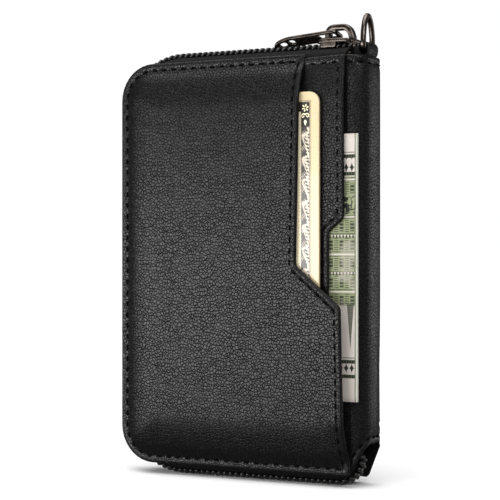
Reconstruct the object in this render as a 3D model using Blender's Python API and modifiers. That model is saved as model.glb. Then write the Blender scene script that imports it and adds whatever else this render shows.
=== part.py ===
"""Zip-around bifold wallet with outside pockets and a metal ring at the top of its spine.

It stands on its lower zip edge with the spine upright at +X and the front pockets at -Y.
The sizes below are in millimetres: x is measured from the left edge of the cover leather,
y from the middle plane of the zip and z from the surface that the wallet stands on.
"""

import math

import bmesh
import bpy
from mathutils import Vector

MM = 0.001

# Cover leather outline
LEATHER_BOTTOM = 3.0
LEATHER_TOP = 107.5
CORNER_RADIUS = 9.5
COVER_RIGHT = 66.2
TOP_DIP_START = 60.0
TOP_DIP_Z = 106.95
HEEL_CENTRE_X = 61.9
HEEL_CENTRE_Z = 11.6
HEEL_RADIUS = 8.6

# Spine
SPINE_LEFT = 66.5
SPINE_FACE = 70.5
SPINE_RADIUS = 4.0
SPINE_TOP_Z = 105.7
LEATHER = 1.0
HALF_THICKNESS = 6.0
STRIP_BOTTOM = 13.0
STRIP_TOP = 97.5

# Layers of one cover, as distances from the zip's middle plane
BOARD_LAYER = (4.4, 4.7)
FOIL_LAYER = (3.95, 4.1)
LINING_LAYER = (3.25, 3.65)
SLOT_LAYER = (2.35, 2.95)

# Outside pockets and what is in them, as distances from the zip's middle plane
NOTES_LAYER = (6.3, 6.9)
NOTE_PANEL_LAYER = (7.2, 8.0)
CARD_LAYER = (8.3, 9.06)
CARD_PANEL_LAYER = (6.3, 10.2)
NOTE_PANEL_OUTLINE = (
    (65.2, 104.6),
    (9.0, 104.6),
    (3.0, 98.6),
    (3.0, 11.8),
    (9.0, 5.8),
    (61.7, 5.8),
    (61.7, 63.3),
    (65.6, 66.4),
)
CARD_PANEL_FREE_EDGE = ((67.0, 4.0), (66.0, 44.5), (54.0, 55.5), (55.0, 107.5))
CARD_PANEL_SKIN = 0.84
CARD_PANEL_RIM = 2.5
CARD_PANEL_CHAMFER = 2.7
CARD_SIZE = (54.0, 85.6)
CARD_CORNER = 3.2
CARD_LEFT_BOTTOM = (6.0, 12.3)
NOTES_SIZE = (52.0, 66.3)
NOTES_LEFT_BOTTOM = (17.8, 21.0)

# Zip: the path runs along the middle of the teeth, outside the leather's edge
TEETH_FROM_LEATHER = 2.3
ZIP_CORNER_RADIUS = 18.0
TEETH_HEIGHT = 1.4
TEETH_INNER = 0.6
TEETH_OUTER = 3.0
TAPE_SECTION = (
    (-2.5, 4.7),
    (0.5, 4.7),
    (1.1, 4.3),
    (1.3, 3.8),
    (1.3, 0.7),
    (0.8, 0.7),
    (0.8, 3.6),
    (0.65, 3.95),
    (0.3, 4.2),
    (-2.5, 4.2),
)
ZIP_START_X = 65.2
ZIP_BEND_X = 61.5
ZIP_BEND_RADIUS = 5.8
ZIP_BEND_END = -45.0
ZIP_END_START = -40.0
ZIP_END_STOP = 12.0
STOP_SPAN_X = (65.5, 66.0)
STOP_SPAN_Y = (0.9, 2.3)

# Pieces inside the covers and the spine
BOARD_OUTLINE = (3.2, 6.2, 60.4, 104.3, 12.5)
LINING_INSET = 1.0
LINING_RIGHT = 64.0
SLOT_CORNER = 2.0
SLOT_LEFT_CORNER = 13.2
FRONT_SLOT_SPAN = (2.5, 5.5, 50.0, 105.0)
REAR_SLOT_SPANS = (("lower", (2.5, 5.5, 62.0, 53.0)), ("upper", (2.5, 55.0, 62.0, 105.0)))
SPINE_BOARD_X = (68.5, 69.1)
SPINE_BOARD_HALF = 2.7
SPINE_LINING_X = (67.8, 68.2)
SPINE_LINING_HALF = 3.9
END_TAPE_RADII = (4.3, 4.8)
END_TAPE_HALF = 4.7

# Slider, crown and pull tab
SLIDER_SPAN_X = (55.4, 65.2)
UPPER_PLATE_Z = (110.8, 111.8)
LOWER_PLATE_Z = (106.9, 107.9)
UPPER_PLATE_HALF = 3.9
LOWER_PLATE_HALF = 3.7
WEB_SPAN_X = (60.8, 64.6)
WEB_HALF = 0.3
CROWN_SPAN_X = (57.3, 64.6)
CROWN_BOTTOM = 112.1
CROWN_TOP = 114.7
CROWN_WIDTH = 1.9
CROWN_STRIP = 0.9
PULL_AXIS = (60.0, 112.95)
PULL_LENGTH = 17.2
PULL_WIDTH = 5.0
PULL_THICKNESS = 0.8
PULL_SLOPE = math.radians(-4.0)

# Neck ring and the leather loop that holds it
RING_AXIS = (68.4, 108.65)
RING_WIRE = 1.25
RING_HALF_WIDTH = 3.2
RING_HEIGHT = 8.05
RING_CORNER = 1.2
LOOP_WIDTH = 4.5
LOOP_RADIUS = 1.75
LOOP_HOLE_RADIUS = 0.9
LOOP_TAIL_X = (67.4, 69.1)
LOOP_TAIL_BOTTOM = 98.0

# Hinges along the two edges of the spine
HINGE_X = 69.6
HINGE_Y = 5.1

# The frame's origin, below the middle of the whole wallet
ORIGIN_X = 33.75
ORIGIN_Y = -2.1

FRONT = -1
REAR = 1


def at(x, y, z):
    """A point of the wallet, in metres from the frame's origin."""
    return Vector(((x - ORIGIN_X) * MM, (y - ORIGIN_Y) * MM, z * MM))


def clear_scene():
    for obj in list(bpy.data.objects):
        bpy.data.objects.remove(obj, do_unlink=True)


def new_collection(name):
    collection = bpy.data.collections.new(name)
    bpy.context.scene.collection.children.link(collection)
    return collection


def new_material(name, colour, roughness, metallic=0.0):
    material = bpy.data.materials.new(name)
    material.use_nodes = True
    shader = material.node_tree.nodes["Principled BSDF"]
    shader.inputs["Base Color"].default_value = (*colour, 1.0)
    shader.inputs["Roughness"].default_value = roughness
    shader.inputs["Metallic"].default_value = metallic
    return material


def arc(centre, radius, start, end, steps):
    """Points along an arc, with angles in degrees."""
    points = []
    for step in range(steps + 1):
        angle = math.radians(start + (end - start) * step / steps)
        points.append((centre[0] + radius * math.cos(angle), centre[1] + radius * math.sin(angle)))
    return points


def rounded_box(left, bottom, right, top, radius, steps=4):
    """A rectangle's outline with four round corners."""
    corners = (
        ((right - radius, bottom + radius), -90),
        ((right - radius, top - radius), 0),
        ((left + radius, top - radius), 90),
        ((left + radius, bottom + radius), 180),
    )
    points = []
    for centre, start in corners:
        points += arc(centre, radius, start, start + 90, steps)
    return points


def move_to_collection(obj, collection):
    for owner in list(obj.users_collection):
        owner.objects.unlink(obj)
    collection.objects.link(obj)


def add_bevel(obj, width, segments=1):
    bevel = obj.modifiers.new("Bevel", "BEVEL")
    bevel.width = width * MM
    bevel.segments = segments
    bevel.limit_method = "ANGLE"
    bevel.angle_limit = math.radians(40)


def mesh_from_curve(obj, collection, material):
    """Turns a curve object into a welded mesh object of the same name and place."""
    bpy.context.view_layer.update()
    depsgraph = bpy.context.evaluated_depsgraph_get()
    mesh = bpy.data.meshes.new_from_object(obj.evaluated_get(depsgraph))
    bm = bmesh.new()
    bm.from_mesh(mesh)
    bmesh.ops.remove_doubles(bm, verts=bm.verts, dist=1e-6)
    bmesh.ops.dissolve_limit(bm, angle_limit=math.radians(0.5), verts=bm.verts, edges=bm.edges)
    bmesh.ops.recalc_face_normals(bm, faces=bm.faces)
    bm.to_mesh(mesh)
    bm.free()
    mesh.materials.clear()
    mesh.materials.append(material)
    name = obj.name
    matrix = obj.matrix_world.copy()
    curve = obj.data
    bpy.data.objects.remove(obj, do_unlink=True)
    bpy.data.curves.remove(curve)
    solid = bpy.data.objects.new(name, mesh)
    collection.objects.link(solid)
    solid.matrix_world = matrix
    return solid


def poly_spline(curve, points, cyclic=True):
    spline = curve.splines.new("POLY")
    spline.points.add(len(points) - 1)
    for target, point in zip(spline.points, points):
        coords = tuple(value * MM for value in point)
        target.co = (*coords, *(0.0,) * (3 - len(coords)), 1.0)
    spline.use_cyclic_u = cyclic
    return spline


def flat_solid(name, outlines, layer, material, collection, plane="XZ", bevel=0.0):
    """A flat outline, given thickness between the two values of layer along the plane's normal."""
    curve = bpy.data.curves.new(name, "CURVE")
    curve.dimensions = "2D"
    curve.fill_mode = "BOTH"
    curve.extrude = abs(layer[1] - layer[0]) / 2 * MM
    for outline in outlines:
        poly_spline(curve, outline)
    obj = bpy.data.objects.new(name, curve)
    collection.objects.link(obj)
    middle = (layer[0] + layer[1]) / 2
    if plane == "XZ":
        obj.rotation_euler = (math.pi / 2, 0, 0)
        obj.location = at(0, middle, 0)
    else:
        obj.location = at(0, 0, middle)
    solid = mesh_from_curve(obj, collection, material)
    if bevel:
        add_bevel(solid, bevel)
    return solid


def swept_solid(name, path, profile, material, collection):
    """A closed profile of (outward, y) points swept along an open path in the XZ plane."""
    section = bpy.data.curves.new(name + "_section", "CURVE")
    section.dimensions = "2D"
    section.fill_mode = "NONE"
    poly_spline(section, [(out, -y) for out, y in profile])
    guide = bpy.data.objects.new(name + "_section", section)
    collection.objects.link(guide)
    curve = bpy.data.curves.new(name, "CURVE")
    curve.dimensions = "2D"
    curve.fill_mode = "NONE"
    curve.bevel_mode = "OBJECT"
    curve.bevel_object = guide
    curve.use_fill_caps = True
    poly_spline(curve, path, cyclic=False)
    obj = bpy.data.objects.new(name, curve)
    collection.objects.link(obj)
    obj.rotation_euler = (math.pi / 2, 0, 0)
    obj.location = at(0, 0, 0)
    solid = mesh_from_curve(obj, collection, material)
    bpy.data.objects.remove(guide, do_unlink=True)
    bpy.data.curves.remove(section)
    return solid


def box_solid(name, low, high, material, collection):
    """An upright box between two corners."""
    mesh = bpy.data.meshes.new(name)
    bm = bmesh.new()
    bmesh.ops.create_cube(bm, size=1.0)
    size = Vector(high) - Vector(low)
    bmesh.ops.scale(bm, vec=size * MM, verts=bm.verts)
    bm.to_mesh(mesh)
    bm.free()
    mesh.materials.append(material)
    obj = bpy.data.objects.new(name, mesh)
    collection.objects.link(obj)
    obj.location = (at(*low) + at(*high)) / 2
    return obj


def apply_boolean(obj, other, operation):
    """Cuts or joins obj with other, and removes other."""
    modifier = obj.modifiers.new("Boolean", "BOOLEAN")
    modifier.operation = operation
    modifier.solver = "EXACT"
    modifier.object = other
    bpy.context.view_layer.update()
    depsgraph = bpy.context.evaluated_depsgraph_get()
    mesh = bpy.data.meshes.new_from_object(obj.evaluated_get(depsgraph))
    obj.modifiers.remove(modifier)
    obj.data = mesh
    bpy.data.objects.remove(other, do_unlink=True)


def new_axis(name, location, collection, parent=None):
    """An empty on a joint's axis."""
    axis = bpy.data.objects.new(name, None)
    axis.empty_display_size = 0.01
    collection.objects.link(axis)
    axis.location = location
    if parent:
        attach(axis, parent)
    return axis


def attach(obj, parent):
    """Parents obj and keeps it where it is."""
    bpy.context.view_layer.update()
    place = obj.matrix_world.copy()
    obj.parent = parent
    obj.matrix_parent_inverse.identity()
    obj.matrix_basis = parent.matrix_world.inverted() @ place


def side_layer(side, layer):
    """A layer's two y values on the front or the rear cover."""
    return tuple(side * value for value in layer)


# ---------------------------------------------------------------- outlines


def cover_outline(inset=0.0, right=COVER_RIGHT, steps=8):
    """The cover leather's outline: round left corners, a dip at the top right and a round heel."""
    radius = CORNER_RADIUS - inset
    left_x = CORNER_RADIUS
    low = (left_x, LEATHER_BOTTOM + CORNER_RADIUS)
    high = (left_x, LEATHER_TOP - CORNER_RADIUS)
    heel_end = -math.degrees(math.acos((right - HEEL_CENTRE_X) / HEEL_RADIUS))
    points = [(right, TOP_DIP_Z - inset), (TOP_DIP_START, LEATHER_TOP - inset)]
    points += arc(high, radius, 90, 180, steps)
    points += arc(low, radius, 180, 270, steps)
    points += arc((HEEL_CENTRE_X, HEEL_CENTRE_Z), HEEL_RADIUS - inset, -90, heel_end, 3)
    return points


def zip_path(steps=10):
    """The middle line of one row of teeth, from the top of the spine round to its heel."""
    low, high = zip_corner_centres()
    points = [(ZIP_START_X, LEATHER_TOP + TEETH_FROM_LEATHER)]
    points += arc(high, ZIP_CORNER_RADIUS, 90, 180, steps)
    points += arc(low, ZIP_CORNER_RADIUS, 180, 270, steps)
    points += arc(zip_bend_centre(), ZIP_BEND_RADIUS, -90, ZIP_BEND_END, 5)
    return points


def zip_corner_centres():
    """The centres of the zip's two wide turns, which cut across the leather's corners."""
    inset = ZIP_CORNER_RADIUS - TEETH_FROM_LEATHER
    return (inset, LEATHER_BOTTOM + inset), (inset, LEATHER_TOP - inset)


def zip_bend_centre():
    return (ZIP_BEND_X, LEATHER_BOTTOM - TEETH_FROM_LEATHER + ZIP_BEND_RADIUS)


def zip_end_strip(inner, outer, steps=6):
    """A curved strip that carries the closed end of the zip up inside the spine's heel."""
    centre = zip_bend_centre()
    outside = arc(centre, outer, ZIP_END_START, ZIP_END_STOP, steps)
    inside = arc(centre, inner, ZIP_END_STOP, ZIP_END_START, steps)
    return outside + inside


# ---------------------------------------------------------------- spine


def make_spine(parts, cutters, materials):
    leather, board, fabric, teeth, tape = (
        materials[key] for key in ("leather", "board", "fabric", "teeth", "tape")
    )
    centres = ((SPINE_LEFT, -HALF_THICKNESS + SPINE_RADIUS), (SPINE_LEFT, HALF_THICKNESS - SPINE_RADIUS))
    inner_radius = SPINE_RADIUS - LEATHER
    profile = arc(centres[0], SPINE_RADIUS, -90, 0, 6) + arc(centres[1], SPINE_RADIUS, 0, 90, 6)
    profile += arc(centres[1], inner_radius, 90, 0, 6) + arc(centres[0], inner_radius, 0, -90, 6)
    spine = flat_solid(
        "spine_leather", [profile], (LEATHER_BOTTOM, LEATHER_TOP), leather, parts, plane="XY"
    )
    beyond = SPINE_FACE + 2.0
    heel_angle = -math.degrees(math.acos((SPINE_LEFT - 0.5 - HEEL_CENTRE_X) / HEEL_RADIUS))
    heel = arc((HEEL_CENTRE_X, HEEL_CENTRE_Z), HEEL_RADIUS, 0, heel_angle, 8)
    heel += [(SPINE_LEFT - 0.5, LEATHER_BOTTOM - 1.0), (beyond, LEATHER_BOTTOM - 1.0)]
    heel += [(beyond, HEEL_CENTRE_Z)]
    crest = [
        (SPINE_LEFT - 0.5, TOP_DIP_Z),
        (SPINE_FACE, SPINE_TOP_Z),
        (beyond, SPINE_TOP_Z),
        (beyond, LEATHER_TOP + 1.0),
        (SPINE_LEFT - 0.5, LEATHER_TOP + 1.0),
    ]
    across = (-HALF_THICKNESS - 1.0, HALF_THICKNESS + 1.0)
    for name, outline in (("heel_cutter", heel), ("crest_cutter", crest)):
        cutter = flat_solid(name, [outline], across, leather, cutters)
        apply_boolean(spine, cutter, "DIFFERENCE")
    strips = (
        ("spine_board", SPINE_BOARD_X, SPINE_BOARD_HALF, board),
        ("spine_lining", SPINE_LINING_X, SPINE_LINING_HALF, fabric),
    )
    for name, (near, far), half, material in strips:
        box_solid(name, (near, -half, STRIP_BOTTOM), (far, half, STRIP_TOP), material, parts)
    half_height = TEETH_HEIGHT / 2
    flat_solid(
        "zip_end_teeth",
        [zip_end_strip(ZIP_BEND_RADIUS - half_height, ZIP_BEND_RADIUS + half_height)],
        (-TEETH_OUTER, TEETH_OUTER),
        teeth,
        parts,
    )
    strip = zip_end_strip(*END_TAPE_RADII)
    flat_solid("zip_end_tape", [strip], (-END_TAPE_HALF, END_TAPE_HALF), tape, parts)


def make_ring_loop(parts, materials):
    """A leather strap folded round the ring's bar, with its two ends together inside the spine."""
    tail_left, tail_right = LOOP_TAIL_X
    right_angle = -math.degrees(math.acos((tail_right - RING_AXIS[0]) / LOOP_RADIUS))
    left_angle = 180 + math.degrees(math.acos((RING_AXIS[0] - tail_left) / LOOP_RADIUS))
    outline = arc(RING_AXIS, LOOP_RADIUS, right_angle, left_angle, 14)
    outline += [(tail_left, LOOP_TAIL_BOTTOM), (tail_right, LOOP_TAIL_BOTTOM)]
    hole = arc(RING_AXIS, LOOP_HOLE_RADIUS, 0, 330, 11)
    half = LOOP_WIDTH / 2
    flat_solid("ring_loop", [outline, hole], (-half, half), materials["leather"], parts)


def make_neck_ring(parts, materials):
    """A wire ring with a straight bar below and a long round bow above."""
    inner = RING_HALF_WIDTH - RING_CORNER
    points = arc((inner, RING_CORNER), RING_CORNER, -90, 0, 4)
    bow_height = RING_HEIGHT - RING_CORNER
    for step in range(1, 16):
        angle = math.pi * step / 16
        points.append((RING_HALF_WIDTH * math.cos(angle), RING_CORNER + bow_height * math.sin(angle)))
    points += arc((-inner, RING_CORNER), RING_CORNER, 180, 270, 4)
    curve = bpy.data.curves.new("neck_ring", "CURVE")
    curve.dimensions = "3D"
    curve.bevel_depth = RING_WIRE / 2 * MM
    curve.bevel_resolution = 2
    poly_spline(curve, [(0.0, y, z) for y, z in points])
    obj = bpy.data.objects.new("neck_ring", curve)
    parts.objects.link(obj)
    obj.location = at(RING_AXIS[0], 0, RING_AXIS[1])
    return mesh_from_curve(obj, parts, materials["gunmetal"])


# ---------------------------------------------------------------- covers


def make_cover(side, label, parts, materials):
    """The parts that the front and the rear cover have in common."""
    made = [
        flat_solid(
            f"{label}_leather",
            [cover_outline()],
            side_layer(side, (HALF_THICKNESS - LEATHER, HALF_THICKNESS)),
            materials["leather"],
            parts,
            bevel=0.25,
        )
    ]
    inside = rounded_box(*BOARD_OUTLINE)
    thin_layers = (
        ("board", inside, BOARD_LAYER, "board"),
        ("rfid_foil", inside, FOIL_LAYER, "foil"),
        ("lining", lining_outline(), LINING_LAYER, "fabric"),
    )
    for piece, outline, layer, key in thin_layers:
        made.append(
            flat_solid(f"{label}_{piece}", [outline], side_layer(side, layer), materials[key], parts)
        )
    made.append(make_tape(side, label, parts, materials["tape"]))
    made.append(make_teeth(side, label, parts, materials["teeth"]))
    stop_z = (LEATHER_TOP + TEETH_FROM_LEATHER - 0.6, LEATHER_TOP + TEETH_FROM_LEATHER + 0.6)
    y_values = sorted(side * value for value in STOP_SPAN_Y)
    made.append(
        box_solid(
            f"{label}_top_stop",
            (STOP_SPAN_X[0], y_values[0], stop_z[0]),
            (STOP_SPAN_X[1], y_values[1], stop_z[1]),
            materials["gunmetal"],
            parts,
        )
    )
    return made


def lining_outline():
    """The lining's outline, a little inside the leather, with a small corner beside the heel."""
    low, high = zip_corner_centres()
    radius = low[0] - LINING_INSET
    points = arc(zip_bend_centre(), LINING_RIGHT - ZIP_BEND_X, -90, 0, 3)
    points += [(LINING_RIGHT, LEATHER_TOP - LINING_INSET)]
    points += arc(high, radius, 90, 180, 6)
    points += arc(low, radius, 180, 270, 6)
    return points


def make_tape(side, label, parts, material):
    """Woven tape: sewn flat inside the cover, then turned in over the edge to carry the teeth."""
    profile = [(out - TEETH_FROM_LEATHER, side * depth) for out, depth in TAPE_SECTION]
    return swept_solid(f"{label}_zip_tape", zip_path(), profile, material, parts)


def make_teeth(side, label, parts, material):
    half = TEETH_HEIGHT / 2
    bevel = 0.4
    outline = [
        (-half, TEETH_INNER),
        (-half, TEETH_OUTER),
        (half - bevel, TEETH_OUTER),
        (half, TEETH_OUTER - bevel),
        (half, TEETH_INNER),
    ]
    profile = [(out, side * depth) for out, depth in outline]
    return swept_solid(f"{label}_zip_teeth", zip_path(), profile, material, parts)


def slot_outline(left, bottom, right, top, wide_bottom=True, wide_top=True):
    """A card slot's outline, whose left corners are wide where the zip's tape turns round them."""
    low = SLOT_LEFT_CORNER if wide_bottom else SLOT_CORNER
    high = SLOT_LEFT_CORNER if wide_top else SLOT_CORNER
    small = SLOT_CORNER
    points = arc((right - small, bottom + small), small, -90, 0, 3)
    points += arc((right - small, top - small), small, 0, 90, 3)
    points += arc((left + high, top - high), high, 90, 180, 5)
    points += arc((left + low, bottom + low), low, 180, 270, 5)
    return points


def make_inner_panels(parts, materials):
    """Card slots on the inside of each cover. The rear ones are one above the other."""
    front = flat_solid(
        "front_card_slot",
        [slot_outline(*FRONT_SLOT_SPAN)],
        side_layer(FRONT, SLOT_LAYER),
        materials["leather"],
        parts,
    )
    rear = []
    for label, span in REAR_SLOT_SPANS:
        outline = slot_outline(*span, label == "lower", label == "upper")
        rear.append(
            flat_solid(
                f"rear_card_slot_{label}",
                [outline],
                side_layer(REAR, SLOT_LAYER),
                materials["leather"],
                parts,
            )
        )
    return front, rear


# ---------------------------------------------------------------- outside pockets


def make_note_panel(parts, materials):
    """The inner outside-pocket panel, with a step in its free edge that shows the notes."""
    return flat_solid(
        "note_pocket_panel",
        [NOTE_PANEL_OUTLINE],
        side_layer(FRONT, NOTE_PANEL_LAYER),
        materials["leather"],
        parts,
        bevel=0.2,
    )


def make_card_panel(parts, cutters, materials):
    """The large front panel: a shallow tray, sewn down on three sides and open along its free edge."""
    outline = list(CARD_PANEL_FREE_EDGE)
    outline += arc((CORNER_RADIUS, LEATHER_TOP - CORNER_RADIUS), CORNER_RADIUS, 90, 180, 8)
    outline += arc((CORNER_RADIUS, LEATHER_BOTTOM + CORNER_RADIUS), CORNER_RADIUS, 180, 270, 8)
    outline += [(HEEL_CENTRE_X, LEATHER_BOTTOM)]
    panel = flat_solid(
        "card_pocket_panel",
        [outline],
        side_layer(FRONT, CARD_PANEL_LAYER),
        materials["leather"],
        parts,
    )
    chamfer_sewn_rim(panel, CARD_PANEL_FREE_EDGE)
    rim = CARD_PANEL_RIM
    inner = CORNER_RADIUS - rim
    hollow = [(70.0, LEATHER_BOTTOM + rim), (70.0, LEATHER_TOP - rim)]
    hollow += arc((CORNER_RADIUS, LEATHER_TOP - CORNER_RADIUS), inner, 90, 180, 6)
    hollow += arc((CORNER_RADIUS, LEATHER_BOTTOM + CORNER_RADIUS), inner, 180, 270, 6)
    depth = (CARD_PANEL_LAYER[0] - 1.0, CARD_PANEL_LAYER[1] - CARD_PANEL_SKIN)
    layer = side_layer(FRONT, depth)
    cutter = flat_solid("card_pocket_cutter", [hollow], layer, materials["leather"], cutters)
    apply_boolean(panel, cutter, "DIFFERENCE")
    return panel


def chamfer_sewn_rim(panel, free_edge):
    """Slopes the front of the panel down to its sewn edges, and leaves the free edge at full height."""
    bm = bmesh.new()
    bm.from_mesh(panel.data)
    front_z = max(vert.co.z for vert in bm.verts)
    free = {(round(x * MM, 6), round(z * MM, 6)) for x, z in free_edge}

    def on_free_edge(vert):
        return (round(vert.co.x, 6), round(vert.co.y, 6)) in free

    edges = []
    for edge in bm.edges:
        in_front = all(vert.co.z > front_z - 1e-6 for vert in edge.verts)
        if in_front and edge.is_manifold and not all(on_free_edge(vert) for vert in edge.verts):
            if edge.calc_face_angle(0.0) > 1.0:
                edges.append(edge)
    bmesh.ops.bevel(
        bm, geom=edges, offset=CARD_PANEL_CHAMFER * MM, segments=2, profile=0.5, affect="EDGES"
    )
    bm.to_mesh(panel.data)
    bm.free()


def make_card(parts, materials):
    left, bottom = CARD_LEFT_BOTTOM
    outline = rounded_box(left, bottom, left + CARD_SIZE[0], bottom + CARD_SIZE[1], CARD_CORNER)
    return flat_solid(
        "payment_card", [outline], side_layer(FRONT, CARD_LAYER), materials["card"], parts
    )


def make_notes(parts, materials):
    left, bottom = NOTES_LEFT_BOTTOM
    outline = rounded_box(left, bottom, left + NOTES_SIZE[0], bottom + NOTES_SIZE[1], 0.4, 1)
    return flat_solid(
        "folded_notes", [outline], side_layer(FRONT, NOTES_LAYER), materials["paper"], parts
    )


# ---------------------------------------------------------------- slider


def make_slider(parts, cutters, materials):
    """Two plates, above and below the tapes, joined by a web between the rows of teeth."""
    metal = materials["gunmetal"]
    left, right = SLIDER_SPAN_X
    nose = 1.6
    upper = [
        (right, -UPPER_PLATE_HALF + nose),
        (right, UPPER_PLATE_HALF - nose),
        (right - nose, UPPER_PLATE_HALF),
        (left + nose, UPPER_PLATE_HALF - 0.5),
        (left, UPPER_PLATE_HALF - nose),
        (left, -UPPER_PLATE_HALF + nose),
        (left + nose, -UPPER_PLATE_HALF + 0.5),
        (right - nose, -UPPER_PLATE_HALF),
    ]
    lower = [(x, y * LOWER_PLATE_HALF / UPPER_PLATE_HALF) for x, y in upper]
    body = flat_solid("slider_body", [upper], UPPER_PLATE_Z, metal, parts, plane="XY")
    plate = flat_solid("slider_lower_plate", [lower], LOWER_PLATE_Z, metal, cutters, plane="XY")
    overlap = 0.5
    web = box_solid(
        "slider_web",
        (WEB_SPAN_X[0], -WEB_HALF, LOWER_PLATE_Z[1] - overlap),
        (WEB_SPAN_X[1], WEB_HALF, UPPER_PLATE_Z[0] + overlap),
        metal,
        cutters,
    )
    apply_boolean(body, web, "UNION")
    apply_boolean(body, plate, "UNION")
    return body


def make_crown(parts, materials):
    """The bail on top of the slider that holds the pull tab."""
    left, right = CROWN_SPAN_X
    radius = 1.6
    outer = [(right, CROWN_BOTTOM)]
    outer += arc((right - radius, CROWN_TOP - radius), radius, 0, 90, 5)
    outer += arc((left + radius, CROWN_TOP - radius), radius, 90, 180, 5)
    outer += [(left, CROWN_BOTTOM)]
    strip = CROWN_STRIP
    inner_radius = radius - strip
    inner = [(left + strip, CROWN_BOTTOM)]
    inner += arc((left + radius, CROWN_TOP - radius), inner_radius, 180, 90, 4)
    inner += arc((right - radius, CROWN_TOP - radius), inner_radius, 90, 0, 4)
    inner += [(right - strip, CROWN_BOTTOM)]
    half = CROWN_WIDTH / 2
    return flat_solid("slider_crown", [outer + inner], (-half, half), materials["gunmetal"], parts)


def make_pull(parts, materials):
    """The pull tab, with an eye round the crown and two slots near its tip."""
    half = PULL_WIDTH / 2
    tip = 1.5
    bar = 0.45
    outline = [(bar, -half + 0.4), (bar, half - 0.4), (0.0, half)]
    outline += arc((-PULL_LENGTH + tip, half - tip), tip, 90, 180, 4)
    outline += arc((-PULL_LENGTH + tip, -half + tip), tip, 180, 270, 4)
    outline += [(0.0, -half)]
    eye = rounded_box(-4.8, -1.35, -bar, 1.35, 0.4, 2)
    slots = [rounded_box(x - 1.6, -1.3, x, 1.3, 0.5, 2) for x in (-12.0, -14.2)]
    curve = bpy.data.curves.new("pull_tab", "CURVE")
    curve.dimensions = "2D"
    curve.fill_mode = "BOTH"
    curve.extrude = PULL_THICKNESS / 2 * MM
    for points in (outline, eye, *slots):
        poly_spline(curve, points)
    obj = bpy.data.objects.new("pull_tab", curve)
    parts.objects.link(obj)
    obj.location = at(PULL_AXIS[0], 0, PULL_AXIS[1])
    obj.rotation_euler = (0, PULL_SLOPE, 0)
    return mesh_from_curve(obj, parts, materials["gunmetal"])


# ---------------------------------------------------------------- assembly


def make_materials():
    return {
        "leather": new_material("black_leather", (0.018, 0.018, 0.019), 0.5),
        "fabric": new_material("lining_fabric", (0.03, 0.03, 0.032), 0.85),
        "board": new_material("stiffener_board", (0.30, 0.26, 0.20), 0.9),
        "foil": new_material("rfid_foil", (0.62, 0.62, 0.64), 0.35, 1.0),
        "tape": new_material("zip_tape", (0.012, 0.012, 0.013), 0.9),
        "teeth": new_material("zip_teeth", (0.02, 0.02, 0.021), 0.35),
        "gunmetal": new_material("gunmetal", (0.16, 0.14, 0.125), 0.32, 1.0),
        "card": new_material("card_plastic", (0.78, 0.66, 0.42), 0.35),
        "paper": new_material("note_paper", (0.70, 0.70, 0.62), 0.8),
    }


def main():
    clear_scene()
    parts = new_collection("zip_wallet")
    cutters = new_collection("cutters")
    materials = make_materials()

    make_spine(parts, cutters, materials)
    make_ring_loop(parts, materials)
    ring = make_neck_ring(parts, materials)
    attach(ring, new_axis("ring_axis", at(RING_AXIS[0], 0, RING_AXIS[1]), parts))

    front_hinge = new_axis("front_hinge_axis", at(HINGE_X, -HINGE_Y, 0), parts)
    rear_hinge = new_axis("rear_hinge_axis", at(HINGE_X, HINGE_Y, 0), parts)
    front_slot, rear_slots = make_inner_panels(parts, materials)
    front = make_cover(FRONT, "front", parts, materials) + [front_slot]
    front += [make_note_panel(parts, materials), make_card_panel(parts, cutters, materials)]
    front += [make_card(parts, materials), make_notes(parts, materials)]
    rear = make_cover(REAR, "rear", parts, materials) + rear_slots
    for piece in front:
        attach(piece, front_hinge)
    for piece in rear:
        attach(piece, rear_hinge)

    slider_axis = new_axis("zip_slide_axis", at(SLIDER_SPAN_X[0], 0, UPPER_PLATE_Z[0]), parts, rear_hinge)
    for piece in (make_slider(parts, cutters, materials), make_crown(parts, materials)):
        attach(piece, slider_axis)
    pull_axis = new_axis("pull_axis", at(PULL_AXIS[0], 0, PULL_AXIS[1]), parts, slider_axis)
    attach(make_pull(parts, materials), pull_axis)


main()
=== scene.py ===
"""Looks of the zip-around card wallet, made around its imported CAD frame.

Local sizes are in millimetres: x from the left edge of the cover leather, y from the middle plane
of the zip (front negative) and z from the floor.
"""

import math

import bmesh
import bpy
import numpy as np
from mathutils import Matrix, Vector


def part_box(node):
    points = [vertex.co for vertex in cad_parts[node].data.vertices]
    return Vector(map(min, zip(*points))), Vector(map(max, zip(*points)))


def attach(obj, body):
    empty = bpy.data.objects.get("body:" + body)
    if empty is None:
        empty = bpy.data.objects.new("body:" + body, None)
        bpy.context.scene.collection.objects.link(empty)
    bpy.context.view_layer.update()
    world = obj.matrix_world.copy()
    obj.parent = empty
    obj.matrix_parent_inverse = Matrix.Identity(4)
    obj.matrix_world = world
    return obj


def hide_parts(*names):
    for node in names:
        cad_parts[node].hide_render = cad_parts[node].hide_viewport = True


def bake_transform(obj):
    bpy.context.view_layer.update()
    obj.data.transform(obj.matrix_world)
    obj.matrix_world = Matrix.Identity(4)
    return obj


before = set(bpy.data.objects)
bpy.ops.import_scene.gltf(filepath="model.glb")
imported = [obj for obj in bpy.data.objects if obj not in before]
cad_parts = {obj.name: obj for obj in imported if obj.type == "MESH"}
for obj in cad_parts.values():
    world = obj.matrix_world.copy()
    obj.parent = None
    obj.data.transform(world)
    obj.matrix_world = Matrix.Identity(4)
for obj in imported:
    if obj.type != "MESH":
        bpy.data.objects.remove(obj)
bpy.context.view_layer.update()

MM = 0.001
FRONT = -1.0
REAR = 1.0
SIDES = ((FRONT, "front"), (REAR, "rear"))
TEETH_ROWS = ((FRONT, "front", 0.0), (REAR, "rear", 0.5))

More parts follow.
